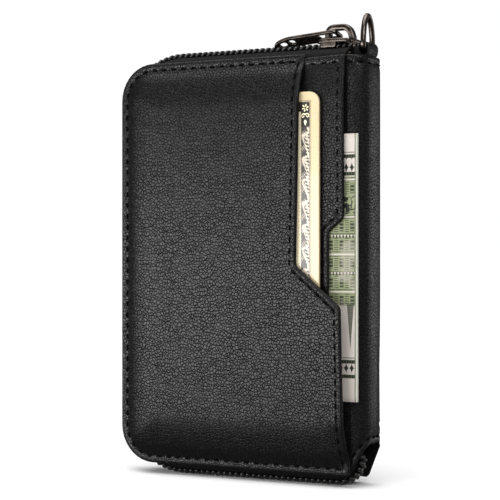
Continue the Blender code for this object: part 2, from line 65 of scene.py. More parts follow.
COVER_LOW, COVER_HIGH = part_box("front_leather")
SPINE_LOW, SPINE_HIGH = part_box("spine_leather")
ORIGIN = np.array([COVER_LOW.x, (SPINE_LOW.y + SPINE_HIGH.y) / 2, 0.0])


def local_box(node):
    """A CAD node's box in local millimetres: lowest corner and highest corner."""
    low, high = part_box(node)
    return (np.array(low) - ORIGIN) / MM, (np.array(high) - ORIGIN) / MM


# Half the wallet's height, in metres
MID_HEIGHT = 0.055

# Cover and spine
BOTTOM = COVER_LOW.z / MM
TOP = COVER_HIGH.z / MM
CORNER = 9.5
HALF = (SPINE_HIGH.y - SPINE_LOW.y) / 2 / MM
SPINE_FACE = (SPINE_HIGH.x - ORIGIN[0]) / MM
SPINE_RADIUS = 4.0
WRAP_START = SPINE_FACE - SPINE_RADIUS
WRAP_LENGTH = SPINE_RADIUS * math.pi / 2
WRAP_END = WRAP_START + WRAP_LENGTH
SPINE_MIDDLE = WRAP_END + HALF - SPINE_RADIUS
HEEL_TOP = 10.6
HEEL_START = {FRONT: 65.5, REAR: 64.3}
HEEL_POWER = {FRONT: 1.25, REAR: 0.8}
DIP_START = 60.0
DIP_END = (66.2, 106.95)
CREST = 106.6

# Stitching
PITCH = 2.9
STITCH_LENGTH = 1.7
STITCH_RADIUS = 0.22
STITCH_INSET = 1.75

# A panel's rings: insets near its rim, shares of the way to its middle line, the cut edge's
# (inset, share of the thickness) and the front rings that the back repeats
RIM_INSETS = (0.0, 0.12, 0.3, 0.6, 0.95, 1.3, 1.55, 1.75, 1.95, 2.2, 2.6, 3.1, 3.8)
RIM_ROUND = 0.35
RIM_FALL = 0.35
FIELD_SHARES = (0.06, 0.12, 0.19, 0.27, 0.36, 0.46, 0.57, 0.69, 0.81, 0.92)
EDGE_RINGS = ((-0.06, 0.62), (0.0, 0.85))
BACK_RINGS = (2, 8, 12, 15, 18, 20, 22)

# How far the card and the notes lie to the left of their CAD places
CARD_SHIFT = 0.65
NOTES_SHIFT = 1.05
PRINT_THICKNESS = 0.03
PRINT_INSET = 3.7
PRINT_WIDTH = 2.15

# Distances from the zip's middle plane: the pockets' faces, the card's back and the inside
CARD_POCKET_EDGE = 7.25
CARD_POCKET_RISE = 2.85
NOTE_POCKET_EDGE = 7.0
NOTE_POCKET_RISE = 0.73
CARD_BACK = 8.36
CARD_BEND = 0.45
NOTES_BACK = 6.32
LINING_FACE = 3.65
LINING_THICKNESS = 0.4
SLOT_FACE = 2.40
SLOT_THICKNESS = 0.55

# Zip
TEETH_OUT = 2.3
ZIP_CORNER = 18.0
TOOTH_PITCH = 1.7
BEND_CENTRE = (61.5, 6.5)
BEND_RADIUS = 5.8
BEND_SPLIT = -42.5
BEND_STOP = 12.0
ZIP_START = 65.2

# The ring's straight bar, as (x, z)
RING_BAR = (68.4, 108.65)

# Light: the softboxes' azimuth and elevation in degrees, distance and size in metres, and power
WORLD_LIGHT = 0.09
SKY_LIGHT = 3.4
SOFTBOXES = (
    ("front_softbox", -29.5, -3.5, 0.30, (0.42, 0.11), 1.20),
    ("key_softbox", 42.0, 30.0, 1.0, (0.35, 0.35), 3.6),
    ("side_softbox", 134.0, 0.0, 0.60, (0.55, 0.24), 0.85),
)


# ------------------------------------------------------------------ camera, light and floor


def make_stage():
    camera = bpy.data.cameras.new("camera")
    camera.lens = 116.9
    camera.sensor_width = 36.0
    camera.clip_start = 0.01
    camera.clip_end = 200.0
    camera_object = bpy.data.objects.new("camera", camera)
    camera_object.location = (0.20474, -0.36515, 0.0587)
    camera_object.rotation_euler = (math.radians(90.0), 0.0, math.radians(29.0))
    bpy.context.scene.collection.objects.link(camera_object)
    bpy.context.scene.camera = camera_object

    floor = bpy.data.meshes.new("floor")
    bm = bmesh.new()
    bmesh.ops.create_grid(bm, x_segments=8, y_segments=8, size=60.0)
    bm.to_mesh(floor)
    bm.free()
    floor_object = bpy.data.objects.new("floor", floor)
    bpy.context.scene.collection.objects.link(floor_object)
    paint = Paint("pale_floor")
    paint.set("Base Color", paint.mix(paint.noise(6.0), rgb(0.90), rgb(0.93)))
    paint.set("Roughness", 0.85)
    paint.set("Specular IOR Level", 0.0)
    floor.materials.append(paint.material)
    floor_object.visible_glossy = False

    make_world()
    bpy.context.scene.view_settings.view_transform = "Standard"
    sun = bpy.data.lights.new("sky_light", "SUN")
    sun.energy = SKY_LIGHT
    sun.angle = math.radians(70.0)
    sun_object = bpy.data.objects.new("sky_light", sun)
    sun_object.rotation_euler = (math.radians(8.0), math.radians(-6.0), 0.0)
    bpy.context.scene.collection.objects.link(sun_object)
    target = Vector((0.0, 0.0, MID_HEIGHT))
    for name, azimuth, elevation, distance, size, power in SOFTBOXES:
        lamp = bpy.data.lights.new(name, "AREA")
        lamp.shape = "RECTANGLE"
        lamp.size, lamp.size_y = size
        lamp.energy = power
        lamp_object = bpy.data.objects.new(name, lamp)
        turn, rise = math.radians(azimuth), math.radians(elevation)
        toward = Vector((math.sin(turn) * math.cos(rise), -math.cos(turn) * math.cos(rise), math.sin(rise)))
        lamp_object.location = target + toward * distance
        lamp_object.rotation_euler = toward.to_track_quat("Z", "Y").to_euler()
        lamp_object.visible_camera = False
        bpy.context.scene.collection.objects.link(lamp_object)


def make_world():
    """A white studio: the backdrop shows white and lights the wallet a little less."""
    world = bpy.data.worlds.new("studio")
    world.use_nodes = True
    nodes, links = world.node_tree.nodes, world.node_tree.links
    soft = nodes["Background"]
    soft.inputs["Strength"].default_value = WORLD_LIGHT
    soft.inputs["Color"].default_value = (1, 1, 1, 1)
    shown = nodes.new("ShaderNodeBackground")
    shown.inputs["Strength"].default_value = 1.02
    shown.inputs["Color"].default_value = (1, 1, 1, 1)
    path = nodes.new("ShaderNodeLightPath")
    mix = nodes.new("ShaderNodeMixShader")
    links.new(path.outputs["Is Camera Ray"], mix.inputs[0])
    links.new(soft.outputs[0], mix.inputs[1])
    links.new(shown.outputs[0], mix.inputs[2])
    links.new(mix.outputs[0], nodes["World Output"].inputs["Surface"])
    bpy.context.scene.world = world


# ------------------------------------------------------------------ materials


def plug(tree, socket, value):
    """Links a term or an output to a socket, or sets the socket's own value."""
    if isinstance(value, Term):
        value = value.socket
    if isinstance(value, bpy.types.NodeSocket):
        tree.links.new(value, socket)
    else:
        socket.default_value = value


class Term:
    """A node's output; sums, products and the like of terms add nodes to the material."""

    def __init__(self, tree, socket):
        self.tree = tree
        self.socket = socket

    def apply(self, operation, first, second=0.0):
        node = self.tree.nodes.new("ShaderNodeMath")
        node.operation = operation
        plug(self.tree, node.inputs[0], first)
        plug(self.tree, node.inputs[1], second)
        return Term(self.tree, node.outputs[0])

    def __add__(self, other):
        return self.apply("ADD", self, other)

    def __sub__(self, other):
        return self.apply("SUBTRACT", self, other)

    def __rsub__(self, other):
        return self.apply("SUBTRACT", other, self)

    def __mul__(self, other):
        return self.apply("MULTIPLY", self, other)

    def __abs__(self):
        return self.apply("ABSOLUTE", self)

    def smaller(self, other):
        return self.apply("MINIMUM", self, other)

    def larger(self, other):
        return self.apply("MAXIMUM", self, other)

    def above(self, limit):
        return self.apply("GREATER_THAN", self, limit)

    def wave(self, length=2 * math.pi):
        return self.apply("SINE", self * (2 * math.pi / length))

    def part(self, length):
        """0 to 1 again and again, once in every length."""
        return self.apply("FRACT", self * (1.0 / length))

    def ramp(self, low, high, to_low=0.0, to_high=1.0):
        """Goes smoothly from to_low to to_high while this goes from low to high."""
        node = self.tree.nodes.new("ShaderNodeMapRange")
        node.interpolation_type = "SMOOTHSTEP"
        for place, value in enumerate((self, low, high, to_low, to_high)):
            plug(self.tree, node.inputs[place], value)
        return Term(self.tree, node.outputs[0])

    def band(self, start, stop, soft=0.1):
        """1 between start and stop and 0 outside."""
        return self.ramp(start - soft, start + soft) * self.ramp(stop - soft, stop + soft, 1.0, 0.0)


class Paint:
    """One material and short ways to add nodes to it."""

    def __init__(self, name, metallic=0.0):
        self.material = bpy.data.materials.new(name)
        self.material.use_nodes = True
        self.tree = self.material.node_tree
        self.shader = self.tree.nodes["Principled BSDF"]
        self.set("Metallic", metallic)
        self.object = self.tree.nodes.new("ShaderNodeTexCoord").outputs["Object"]

    def set(self, name, value):
        plug(self.tree, self.shader.inputs[name], value)

    def node(self, kind, values, output=0, **settings):
        node = self.tree.nodes.new(kind)
        for key, value in settings.items():
            setattr(node, key, value)
        for key, value in values.items():
            plug(self.tree, node.inputs[key], value)
        return Term(self.tree, node.outputs[output])

    def split(self):
        node = self.tree.nodes.new("ShaderNodeSeparateXYZ")
        self.tree.links.new(self.object, node.inputs[0])
        return [Term(self.tree, output) for output in node.outputs]

    def join(self, x, y, z):
        return self.node("ShaderNodeCombineXYZ", {0: x, 1: y, 2: z})

    def vector(self, operation, a, b):
        return self.node("ShaderNodeVectorMath", {0: a, 1: b}, operation=operation)

    def noise(self, scale, detail=2.0, distortion=0.0, vector=None, output="Fac"):
        values = {"Vector": vector or self.object, "Scale": scale, "Detail": detail}
        values["Distortion"] = distortion
        return self.node("ShaderNodeTexNoise", values, output)

    def cells(self, scale, feature, vector=None, dimensions="3D"):
        values = {"Vector": vector or self.object, "Scale": scale}
        settings = {"feature": feature, "voronoi_dimensions": dimensions}
        return self.node("ShaderNodeTexVoronoi", values, "Distance", **settings)

    def mix(self, factor, a, b):
        values = {"Factor": factor, "A": a, "B": b}
        return self.node("ShaderNodeMix", values, "Result", data_type="RGBA")

    def bump(self, height, distance, strength=1.0):
        values = {"Height": height, "Distance": distance, "Strength": strength}
        self.set("Normal", self.node("ShaderNodeBump", values))

    def edges(self):
        """1 along sharp outer edges and 0 elsewhere."""
        return self.node("ShaderNodeNewGeometry", {}, "Pointiness").ramp(0.52, 0.60)


def rgb(red, green=None, blue=None):
    """An opaque colour; with one number it is a grey."""
    return (red, red, red, 1) if green is None else (red, green, blue, 1)


def brighter(colour, factor, more=0.0):
    return tuple(min(1.0, value * factor + more) for value in colour[:3]) + (1,)


def leather_paint(name, dark, light, size=0.80, depth=0.052, rough=0.33):
    """Pebbled leather with painted shade in its creases: size is a pebble's width in millimetres and depth
    is the creases' depth.
    """
    paint = Paint(name)
    shine = 0.30
    x, y, z = paint.split()
    flat = paint.join(x - abs(y), z + y.above(0.0) * 0.0317, 0.0)
    warp = paint.noise(420.0, vector=flat, output="Color")
    warp = paint.vector("SUBTRACT", warp, (0.5, 0.5, 0.5))
    place = paint.vector("ADD", flat, paint.vector("MULTIPLY", warp, (0.9 * size * MM,) * 3))
    per_pebble = 1.0 / (size * MM)
    edge = paint.cells(per_pebble, "DISTANCE_TO_EDGE", place, "2D")
    dome = paint.cells(per_pebble, "F1", place, "2D")
    folds = paint.cells(0.36 * per_pebble, "DISTANCE_TO_EDGE", place, "2D")
    fine = paint.noise(5200.0)
    broad = paint.noise(38.0, 3.0)
    crease = edge.ramp(0.0, 0.19, 1.0, 0.0) * paint.noise(210.0).ramp(0.32, 0.66, 0.7, 1.0)
    groove = crease.larger(folds.ramp(0.0, 0.045, 0.7, 0.0))
    # Painted shade: the creases and folds are painted darker in the colour here, so that they look shaded
    # under any lamp.
    tone = paint.mix(broad.ramp(0.3, 0.7, 0.85, 1.0) - groove, dark, light)
    paint.set("Base Color", paint.mix(paint.edges() * 0.5, tone, brighter(light, 1.5, 0.003)))
    level = groove.ramp(0.0, 0.9, rough, rough + 0.2) + broad.ramp(0.3, 0.7, -0.015, 0.015)
    paint.set("Roughness", level + fine.ramp(0.3, 0.7, -0.05, 0.05))
    # Painted shade: the specular level falls in the creases and folds, so that they show no sheen.
    paint.set("Specular IOR Level", groove.ramp(0.0, 0.8, shine, shine * 0.3))
    paint.bump(fine * 0.10 - dome * 0.5 - groove, depth * size * MM)
    return paint.material


def weave_paint(name, dark, light, thread, rough=0.85, sheen=0.3):
    """Plain woven cloth. thread is the distance between two threads, in millimetres."""
    paint = Paint(name)
    x, y, z = paint.split()
    over = ((x + y).wave(thread * MM) * z.wave(thread * MM)).ramp(-1.0, 1.0)
    slub = paint.noise(900.0, 3.0)
    height = over + slub * 0.6
    paint.set("Base Color", paint.mix(height.ramp(0.3, 1.3), dark, light))
    paint.set("Roughness", slub.ramp(0.3, 0.7, rough - 0.08, rough + 0.08))
    paint.bump(height, 0.06 * MM, 0.8)
    paint.set("Specular IOR Level", 0.2)
    paint.set("Sheen Weight", sheen)
    paint.set("Sheen Roughness", 0.5)
    return paint.material


def metal_paint(name, dark, light, rough):
    paint = Paint(name, metallic=1.0)
    cloud = paint.noise(420.0, 4.0)
    speck = paint.noise(5200.0)
    tone = paint.mix(cloud.ramp(0.3, 0.7), dark, light)
    paint.set("Base Color", paint.mix(paint.edges() * 0.55, tone, brighter(light, 1.9)))
    level = cloud.ramp(0.3, 0.7, rough - 0.06, rough + 0.1)
    paint.set("Roughness", level + speck.ramp(0.3, 0.7, -0.04, 0.04))
    paint.bump(speck + cloud, 0.012 * MM, 0.5)
    return paint.material


def plastic_paint(name, dark, light, rough):
    paint = Paint(name)
    cloud = paint.noise(1500.0, 3.0)
    paint.set("Base Color", paint.mix(cloud, dark, light))
    paint.set("Roughness", cloud.ramp(0.3, 0.7, rough - 0.08, rough + 0.08))
    paint.bump(cloud, 0.02 * MM, 0.6)
    return paint.material


def thread_paint(name, dark, light):
    paint = Paint(name)
    x, y, z = paint.split()
    fuzz = paint.noise(6000.0)
    height = (x + y + z).wave(0.42 * MM) + fuzz
    paint.set("Base Color", paint.mix(height.ramp(-0.6, 1.6), dark, light))
    paint.set("Roughness", fuzz.ramp(0.3, 0.7, 0.7, 0.85))
    paint.set("Specular IOR Level", 0.06)
    paint.bump(height, 0.05 * MM, 0.7)
    return paint.material


def board_paint(name):
    paint = Paint(name)
    fibre = paint.noise(1400.0, 4.0, 1.0)
    paint.set("Base Color", paint.mix(fibre, rgb(0.20, 0.16, 0.11), rgb(0.36, 0.31, 0.24)))
    paint.set("Roughness", fibre.ramp(0.3, 0.7, 0.82, 0.96))
    paint.bump(fibre, 0.05 * MM, 0.7)
    return paint.material


def foil_paint(name):
    paint = Paint(name, metallic=1.0)
    cloud = paint.noise(700.0, 3.0)
    paint.set("Base Color", paint.mix(cloud, rgb(0.50, 0.50, 0.52), rgb(0.70, 0.70, 0.72)))
    paint.set("Roughness", cloud.ramp(0.3, 0.7, 0.25, 0.42))
    paint.bump(paint.cells(260.0, "DISTANCE_TO_EDGE") + cloud, 0.08 * MM, 0.6)
    return paint.material


def card_paint(name, low, high):
    """Printed card: a pale gold edge, thin lines and an engraved band all round."""
    paint = Paint(name)
    middle = (low + high) / 2
    half = (high - low) / 2
    x, _, z = paint.split()
    inset = (half[0] - abs(x - middle[0])).smaller(half[2] - abs(z - middle[2])) * (1.0 / MM)
    speck = paint.noise(2600.0, 3.0)
    gold = paint.mix(paint.noise(160.0), rgb(0.52, 0.405, 0.225), rgb(0.57, 0.475, 0.30))
    gold = paint.mix(speck.ramp(0.35, 0.8), gold, rgb(0.56, 0.46, 0.28))
    run = (z + x) * (1.0 / MM)
    centre = abs(inset - 3.7)
    leaf = (run * (2 * math.pi / 3.4) + centre * 3.0).wave()
    vein = (run * (2 * math.pi / 0.85) - centre * 5.5).wave()
    vine = inset - 3.75 - run.wave(5.6) * 0.75
    engraved = leaf * 0.8 + vein - vine.ramp(0.1, 0.5) * 1.5
    silver = paint.mix(engraved.ramp(-1.1, 0.5), rgb(0.026, 0.018, 0.011), rgb(0.54, 0.47, 0.38))
    stem = vine.ramp(-0.28, -0.16) * vine.ramp(0.02, 0.14, 1.0, 0.0)
    silver = paint.mix(stem, silver, rgb(0.60, 0.53, 0.42))
    lines = (z * (1.0 / MM)).wave(0.8).ramp(0.5, 1.0, 0.0, 0.4)
    field = paint.mix(lines, rgb(0.80, 0.70, 0.50), rgb(0.50, 0.40, 0.25))
    tone = paint.mix(inset.band(5.0, 99.0, 0.05), gold, field)
    tone = paint.mix(inset.band(2.6, 4.8, 0.05), tone, silver)
    for start, stop in ((2.15, 2.27), (2.45, 2.6), (4.8, 4.92)):
        tone = paint.mix(inset.band(start, stop, 0.03), tone, rgb(0.08, 0.055, 0.03))
    paint.set("Base Color", tone)
    paint.set("Roughness", speck.ramp(0.3, 0.7, 0.26, 0.36))
    paint.bump(engraved * 0.3 + speck, 0.012 * MM, 0.5)
    paint.set("Coat Weight", 0.3)
    return paint.material


def note_paint(name, low, high):
    """Printed paper: ornament strips near the ends, green engraving and a spire between them."""
    paint = Paint(name)
    x, _, z = paint.split()
    height = (high[2] - low[2]) / MM
    up = (z - low[2]) * (1.0 / MM)
    across = (high[0] - x) * (1.0 / MM)
    fibre = paint.noise(3000.0, 4.0)
    cream = paint.mix(paint.noise(220.0, 3.0), rgb(0.43, 0.385, 0.345), rgb(0.50, 0.455, 0.415))
    pale, green, dark = rgb(0.205, 0.225, 0.125), rgb(0.052, 0.068, 0.030), rgb(0.008, 0.013, 0.006)

    storey, bay = 4.6, 2.9
    ink = (up.wave(0.55) * 0.5 + paint.noise(1500.0, 4.0, 1.0)).ramp(0.2, 0.8)
    engraved = paint.mix(ink, green, pale)
    opening = across.part(bay).band(0.28, 0.66, 0.03) * up.part(storey).band(0.2, 0.74, 0.03)
    frame_line = across.part(bay).band(0.16, 0.78, 0.03) * up.part(storey).band(0.12, 0.84, 0.03)
    engraved = paint.mix(frame_line * 0.8, engraved, pale)
    engraved = paint.mix(opening * 0.92, engraved, dark)
    engraved = paint.mix(opening * up.wave(0.85).ramp(0.2, 0.7) * 0.8, engraved, pale)
    engraved = paint.mix(up.part(storey).band(0.92, 1.1, 0.02), engraved, cream)
    dots = across.wave(0.9).ramp(0.0, 0.5) * up.part(2 * storey).band(0.42, 0.5, 0.01)
    engraved = paint.mix(dots, engraved, dark)
    leaves = paint.mix(paint.noise(620.0, 5.0, 1.5).ramp(0.46, 0.54), dark, pale)
    engraved = paint.mix(up.band(46.5, 51.5, 1.0), engraved, leaves)
    engraved = paint.mix(paint.noise(170.0).ramp(0.50, 0.64) * 0.28, engraved, cream)
    tone = paint.mix(up.band(24.0, height - 10.4, 0.5), cream, engraved)

    spire = ((up - 12.5) * 0.085 - abs(across - 1.9)).ramp(0.0, 0.12) * up.band(12.5, 24.5, 0.2)
    tone = paint.mix(spire * 0.85, tone, paint.mix(ink, dark, green))

    diamond = abs(across.wave(3.0)) + abs(up.wave(5.8))
    strip = paint.mix(diamond.ramp(0.95, 1.05), dark, cream)
    border = paint.mix(across.wave(0.7).ramp(0.2, 0.8), dark, green)
    for start, stop in ((6.3, 10.6), (height - 10.2, height - 5.2)):
        tone = paint.mix(up.band(start, stop), tone, strip)
        for line in (start - 0.1, stop - 0.8):
            tone = paint.mix(up.band(line, line + 0.9, 0.05), tone, border)
        tone = paint.mix(up.band(stop + 0.5, stop + 0.7, 0.05), tone, green)
    tone = paint.mix(across.band(-5.0, 0.42, 0.04), tone, rgb(0.46, 0.47, 0.40))
    rule = across.band(0.42, 0.72, 0.05) * 0.85
    paint.set("Base Color", paint.mix(rule, tone, rgb(0.07, 0.08, 0.045)))
    paint.set("Roughness", fibre.ramp(0.3, 0.7, 0.72, 0.88))
    paint.bump(fibre - ink * 0.4, 0.02 * MM, 0.6)
    return paint.material


def printed_box(node, left_of=0.0, cut=0.0):
    """A node's box in world metres, moved left by left_of or cut at its right by cut, in millimetres."""
    low, high = (np.array(corner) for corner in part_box(node))
    low[0] -= left_of * MM
    high[0] -= (left_of + cut) * MM
    return low, high


def make_paints():
    return {
        "leather": leather_paint("black_leather", rgb(0.0010), rgb(0.0038)),
        "smooth": leather_paint("smooth_leather", rgb(0.0012), rgb(0.004), 0.7, 0.08, 0.40),
        "lining": weave_paint("lining_cloth", rgb(0.012, 0.012, 0.013), rgb(0.045, 0.045, 0.048), 0.55),
        "tape": weave_paint("zip_tape", rgb(0.0008), rgb(0.0035), 0.42, 0.85, 0.0),
        "teeth": plastic_paint("coil_teeth", rgb(0.010, 0.0098, 0.0095), rgb(0.030, 0.029, 0.028), 0.30),
        "metal": metal_paint("gunmetal", rgb(0.070, 0.059, 0.051), rgb(0.145, 0.122, 0.106), 0.27),
        "thread": thread_paint("thread", rgb(0.0004), rgb(0.0018)),
        "board": board_paint("stiffener_board"),
        "foil": foil_paint("shield_foil"),
        "card": card_paint("printed_card", *printed_box("payment_card", left_of=CARD_SHIFT)),
        "note": note_paint("printed_paper", *printed_box("folded_notes", cut=NOTES_SHIFT)),
        "ink": plastic_paint("dark_print", rgb(0.006, 0.005, 0.004), rgb(0.014, 0.012, 0.009), 0.55),
        "gilt": metal_paint("gilt_print", rgb(0.62, 0.48, 0.24), rgb(0.80, 0.66, 0.38), 0.34),
    }


# ------------------------------------------------------------------ mesh helpers


def tidy_mesh(mesh, distance):
    """Joins points that lie together and turns the faces outwards."""
    bm = bmesh.new()
    bm.from_mesh(mesh)
    bmesh.ops.remove_doubles(bm, verts=bm.verts, dist=distance)
    bmesh.ops.recalc_face_normals(bm, faces=bm.faces)
    bm.to_mesh(mesh)
    bm.free()


def new_object(name, mesh, paint):
    mesh.materials.append(paint)
    obj = bpy.data.objects.new(name, mesh)
    bpy.context.scene.collection.objects.link(obj)
    return obj


def new_piece(name, block, paint, smooth=True):
    """A mesh object from a block: its local points in millimetres and its faces."""
    points, faces = block
    mesh = bpy.data.meshes.new(name)
    mesh.from_pydata((np.asarray(points, float) * MM + ORIGIN).tolist(), [], faces)
    tidy_mesh(mesh, 1e-7)
    for polygon in mesh.polygons:
        polygon.use_smooth = smooth
    return new_object(name, mesh, paint)


def finish_piece(obj, body, slot, *nodes):
    """Rides the piece on its body and hides the CAD nodes that it stands for; slot is not used."""
    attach(obj, body)
    if nodes:
        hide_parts(*nodes)


def arc(centre, radius, start, end, steps):
    angles = np.radians(np.linspace(start, end, steps + 1))
    return [(centre[0] + radius * math.cos(a), centre[1] + radius * math.sin(a)) for a in angles]


def smooth_step(value, low, high):
    t = np.clip((np.asarray(value, float) - low) / (high - low), 0.0, 1.0)
    return t * t * (3 - 2 * t)


def unit_rows(vectors):
    return vectors / np.linalg.norm(vectors, axis=1)[:, None]


def left_normals(line):
    """Unit directions to the left of a flat line, one at each of its points."""
    along = unit_rows(np.gradient(line, axis=0))
    return np.stack([-along[:, 1], along[:, 0]], axis=1)


def distances_along(keys):
    return np.concatenate([[0.0], np.cumsum(np.linalg.norm(np.diff(keys, axis=0), axis=1))])


def even_points(keys, count):
    """Evenly spaced points on a flat polyline and their distances along it."""
    keys = np.asarray(keys, float)
    run = distances_along(keys)
    spots = np.linspace(0.0, run[-1], count)
    return np.stack([np.interp(spots, run, keys[:, axis]) for axis in (0, 1)], axis=1), spots


def upright(flat, depth):
    """Stands flat (x, z) points up at a depth y."""
    return np.stack([flat[:, 0], np.broadcast_to(depth, len(flat)), flat[:, 1]], axis=1)


def round_corner(before, corner, after, radius, steps=4):
    """Replaces one corner by a short curve."""
    before, corner, after = (np.array(point, float) for point in (before, corner, after))
    start = corner + (before - corner) / np.linalg.norm(before - corner) * radius
    end = corner + (after - corner) / np.linalg.norm(after - corner) * radius
    points = []
    for t in np.linspace(0.0, 1.0, steps + 1):
        points.append(tuple((1 - t) ** 2 * start + 2 * t * (1 - t) * corner + t * t * end))
    return points


def offset_loop(keys, distances):
    """Moves every edge of a counter-clockwise outline inwards by its own distance."""
    keys = np.asarray(keys, float)
    along = unit_rows(np.roll(keys, -1, axis=0) - keys)
    normal = np.stack([-along[:, 1], along[:, 0]], axis=1)
    before = np.roll(normal, 1, axis=0)
    d_now = np.asarray(distances, float)
    d_before = np.roll(d_now, 1)
    det = before[:, 0] * normal[:, 1] - before[:, 1] * normal[:, 0]
    flat = np.abs(det) < 0.02
    safe = np.where(flat, 1.0, det)
    move_x = (d_before * normal[:, 1] - d_now * before[:, 1]) / safe
    move_y = (before[:, 0] * d_now - normal[:, 0] * d_before) / safe
    mean = unit_rows((before + normal) / 2)
    average = mean * ((d_before + d_now) / 2)[:, None]
    move = np.stack([move_x, move_y], axis=1)
    moved = keys + np.where(flat[:, None], average, move)
    return close_inverted(moved, along)


def close_inverted(moved, along):
    """Draws together the ends of short edges that an offset has turned round."""
    count = len(moved)
    for _ in range(6):
        turned = np.einsum("ij,ij->i", np.roll(moved, -1, axis=0) - moved, along) < -1e-9
        if not turned.any() or turned.all():
            break
        start = int(np.where(~turned)[0][0])
        run = []
        for step in range(1, count + 1):
            index = (start + step) % count
            if turned[index]:
                run.append(index)
            elif run:
                members = run + [index]
                moved[members] = moved[members].mean(axis=0)
                run = []
    return moved


def loop_counts(keys, step):
    keys = np.asarray(keys, float)
    lengths = np.linalg.norm(np.roll(keys, -1, axis=0) - keys, axis=1)
    return [max(1, int(round(length / step))) for length in lengths]


def dense_loop(keys, counts):
    """The same number of points along each edge, however long the edge is."""
    points = []
    for index, count in enumerate(counts):
        start = keys[index]
        end = keys[(index + 1) % len(keys)]
        for part in range(count):
            points.append(start + (end - start) * part / count)
    return np.array(points)


def distance_to_path(points, path):
    """Each point's distance to a polyline."""
    path = np.asarray(path, float)
    best = np.full(len(points), np.inf)
    for start, end in zip(path[:-1], path[1:]):
        edge = end - start
        t = np.clip(((points - start) @ edge) / (edge @ edge), 0.0, 1.0)
        best = np.minimum(best, np.linalg.norm(points - (start + t[:, None] * edge), axis=1))
    return best


def bridge(rings, capped=True):
    """A block that joins a row of rings, which all have the same number of points."""
    count = len(rings[0])
    faces = []
    for row in range(len(rings) - 1):
        for column in range(count):
            a = row * count + column
            b = row * count + (column + 1) % count
            faces.append((a, b, b + count, a + count))
    if capped:
        base = (len(rings) - 1) * count
        faces.append(tuple(range(count - 1, -1, -1)))
        faces.append(tuple(range(base, base + count)))
    return np.concatenate([np.asarray(ring, float) for ring in rings]), faces


def joined(blocks):
    """One block from many."""
    points, faces = [], []
    base = 0
    for more, quads in blocks:
        points.append(more)
        faces += [tuple(corner + base for corner in quad) for quad in quads]
        base += len(more)
    return np.concatenate(points), faces


class Panel:
    """A thin soft sheet with a turned edge, cut to an outline and laid on a surface.

    height(points) gives the outer face's height and lay(points, height) the 3D place.
    """

    def __init__(self, keys, height, lay, thickness, skeleton, step=0.7, uncut=()):
        self.keys = np.asarray(keys, float)
        self.height = height
        self.lay = lay
        self.thickness = thickness
        self.skeleton = np.asarray(skeleton, float)
        self.counts = loop_counts(self.keys, step)
        self.share = np.array([0.0 if index in uncut else 1.0 for index in range(len(self.keys))])
        self.rim = dense_loop(self.keys, self.counts)
        line = self.ring(STITCH_INSET)
        gaps = np.linalg.norm(np.roll(line, -1, axis=0) - line, axis=1)
        self.run = np.concatenate([[0.0], np.cumsum(gaps)])
        total = self.run[-1]
        self.pitch = total / round(total / PITCH)
        self.line = line
        edge_share = np.repeat(self.share, self.counts)
        self.stitched = edge_share > 0.5

    def ring(self, inset):
        return dense_loop(offset_loop(self.keys, self.share * inset), self.counts)

    def pucker(self, inset):
        """How far the seam pulls the leather down at this inset, all round."""
        pull = 0.5 - 0.5 * np.cos(2 * math.pi * self.run[:-1] / self.pitch)
        groove = math.exp(-(((inset - STITCH_INSET) / 0.40) ** 2))
        rim = 0.05 * math.exp(-(((inset - 0.95) / 0.4) ** 2))
        return ((0.12 + 0.12 * pull ** 2) * groove - rim) * self.stitched

    def build(self, name, paint, seam=True):
        edge_share = np.repeat(self.share, self.counts)
        front = []
        for inset in RIM_INSETS:
            flat = self.ring(inset)
            high = self.height(flat)
            if seam:
                high = high - self.pucker(inset)
            fall = max(0.0, 1.0 - inset / RIM_ROUND)
            front.append((flat, high - self.thickness * RIM_FALL * fall * fall * edge_share))
        inner = self.ring(RIM_INSETS[-1])
        start, end = self.skeleton
        edge = end - start
        t = np.clip(((inner - start) @ edge) / (edge @ edge), 0.0, 1.0)
        closest = start + t[:, None] * edge
        for share in FIELD_SHARES:
            flat = inner + (closest - inner) * share
            front.append((flat, self.height(flat)))
        rings = [self.lay(flat, high) for flat, high in reversed(front)]
        for inset, depth in EDGE_RINGS:
            flat = self.ring(inset)
            rings.append(self.lay(flat, self.height(flat) - self.thickness * depth))
        for index in BACK_RINGS:
            flat = front[index][0]
            rings.append(self.lay(flat, self.height(flat) - self.thickness))
        return new_piece(name, bridge(rings), paint)

    def stitches(self, name, paint, keep=lambda point: True, lift=0.0):
        """One thread piece with a stitch in every pitch of the seam."""
        tubes = []
        total = self.run[-1]
        count = int(round(total / self.pitch))
        closed = np.concatenate([self.line, self.line[:1]])
        for number in range(count):
            centre = (number + 0.5) * self.pitch
            spots = centre + np.linspace(-0.5, 0.5, 7) * STITCH_LENGTH
            flat = np.stack(
                [np.interp(spots % total, self.run, closed[:, axis]) for axis in (0, 1)], axis=1
            )
            at_edge = int(np.searchsorted(self.run, centre % total)) - 1
            if not self.stitched[at_edge] or not keep(flat[3]):
                continue
            high = self.height(flat)
            bow = np.linspace(-1, 1, 7) ** 2
            path = self.lay(flat, high + lift - 0.05 - 0.32 * bow ** 2)
            up = self.lay(flat, high + 1.0) - self.lay(flat, high)
            tubes.append((path, up))
        return thread_piece(name, tubes, paint)


def thread_piece(name, tubes, paint):
    """Short threads, thinner at both ends, each from its path and its upward directions."""
    turn = np.linspace(0, 2 * math.pi, 8, endpoint=False)[:, None]
    blocks = []
    for path, up in tubes:
        along = unit_rows(np.gradient(path, axis=0))
        side = unit_rows(np.cross(along, up))
        lift = np.cross(side, along)
        rings = []
        for index, span in enumerate(np.linspace(-1, 1, len(path))):
            radius = STITCH_RADIUS * math.sqrt(max(0.08, 1 - span ** 4))
            around = np.cos(turn) * side[index] * 1.15 + np.sin(turn) * lift[index] * 0.85
            rings.append(path[index] + radius * around)
        blocks.append(bridge(rings))
    return new_piece(name, joined(blocks), paint)


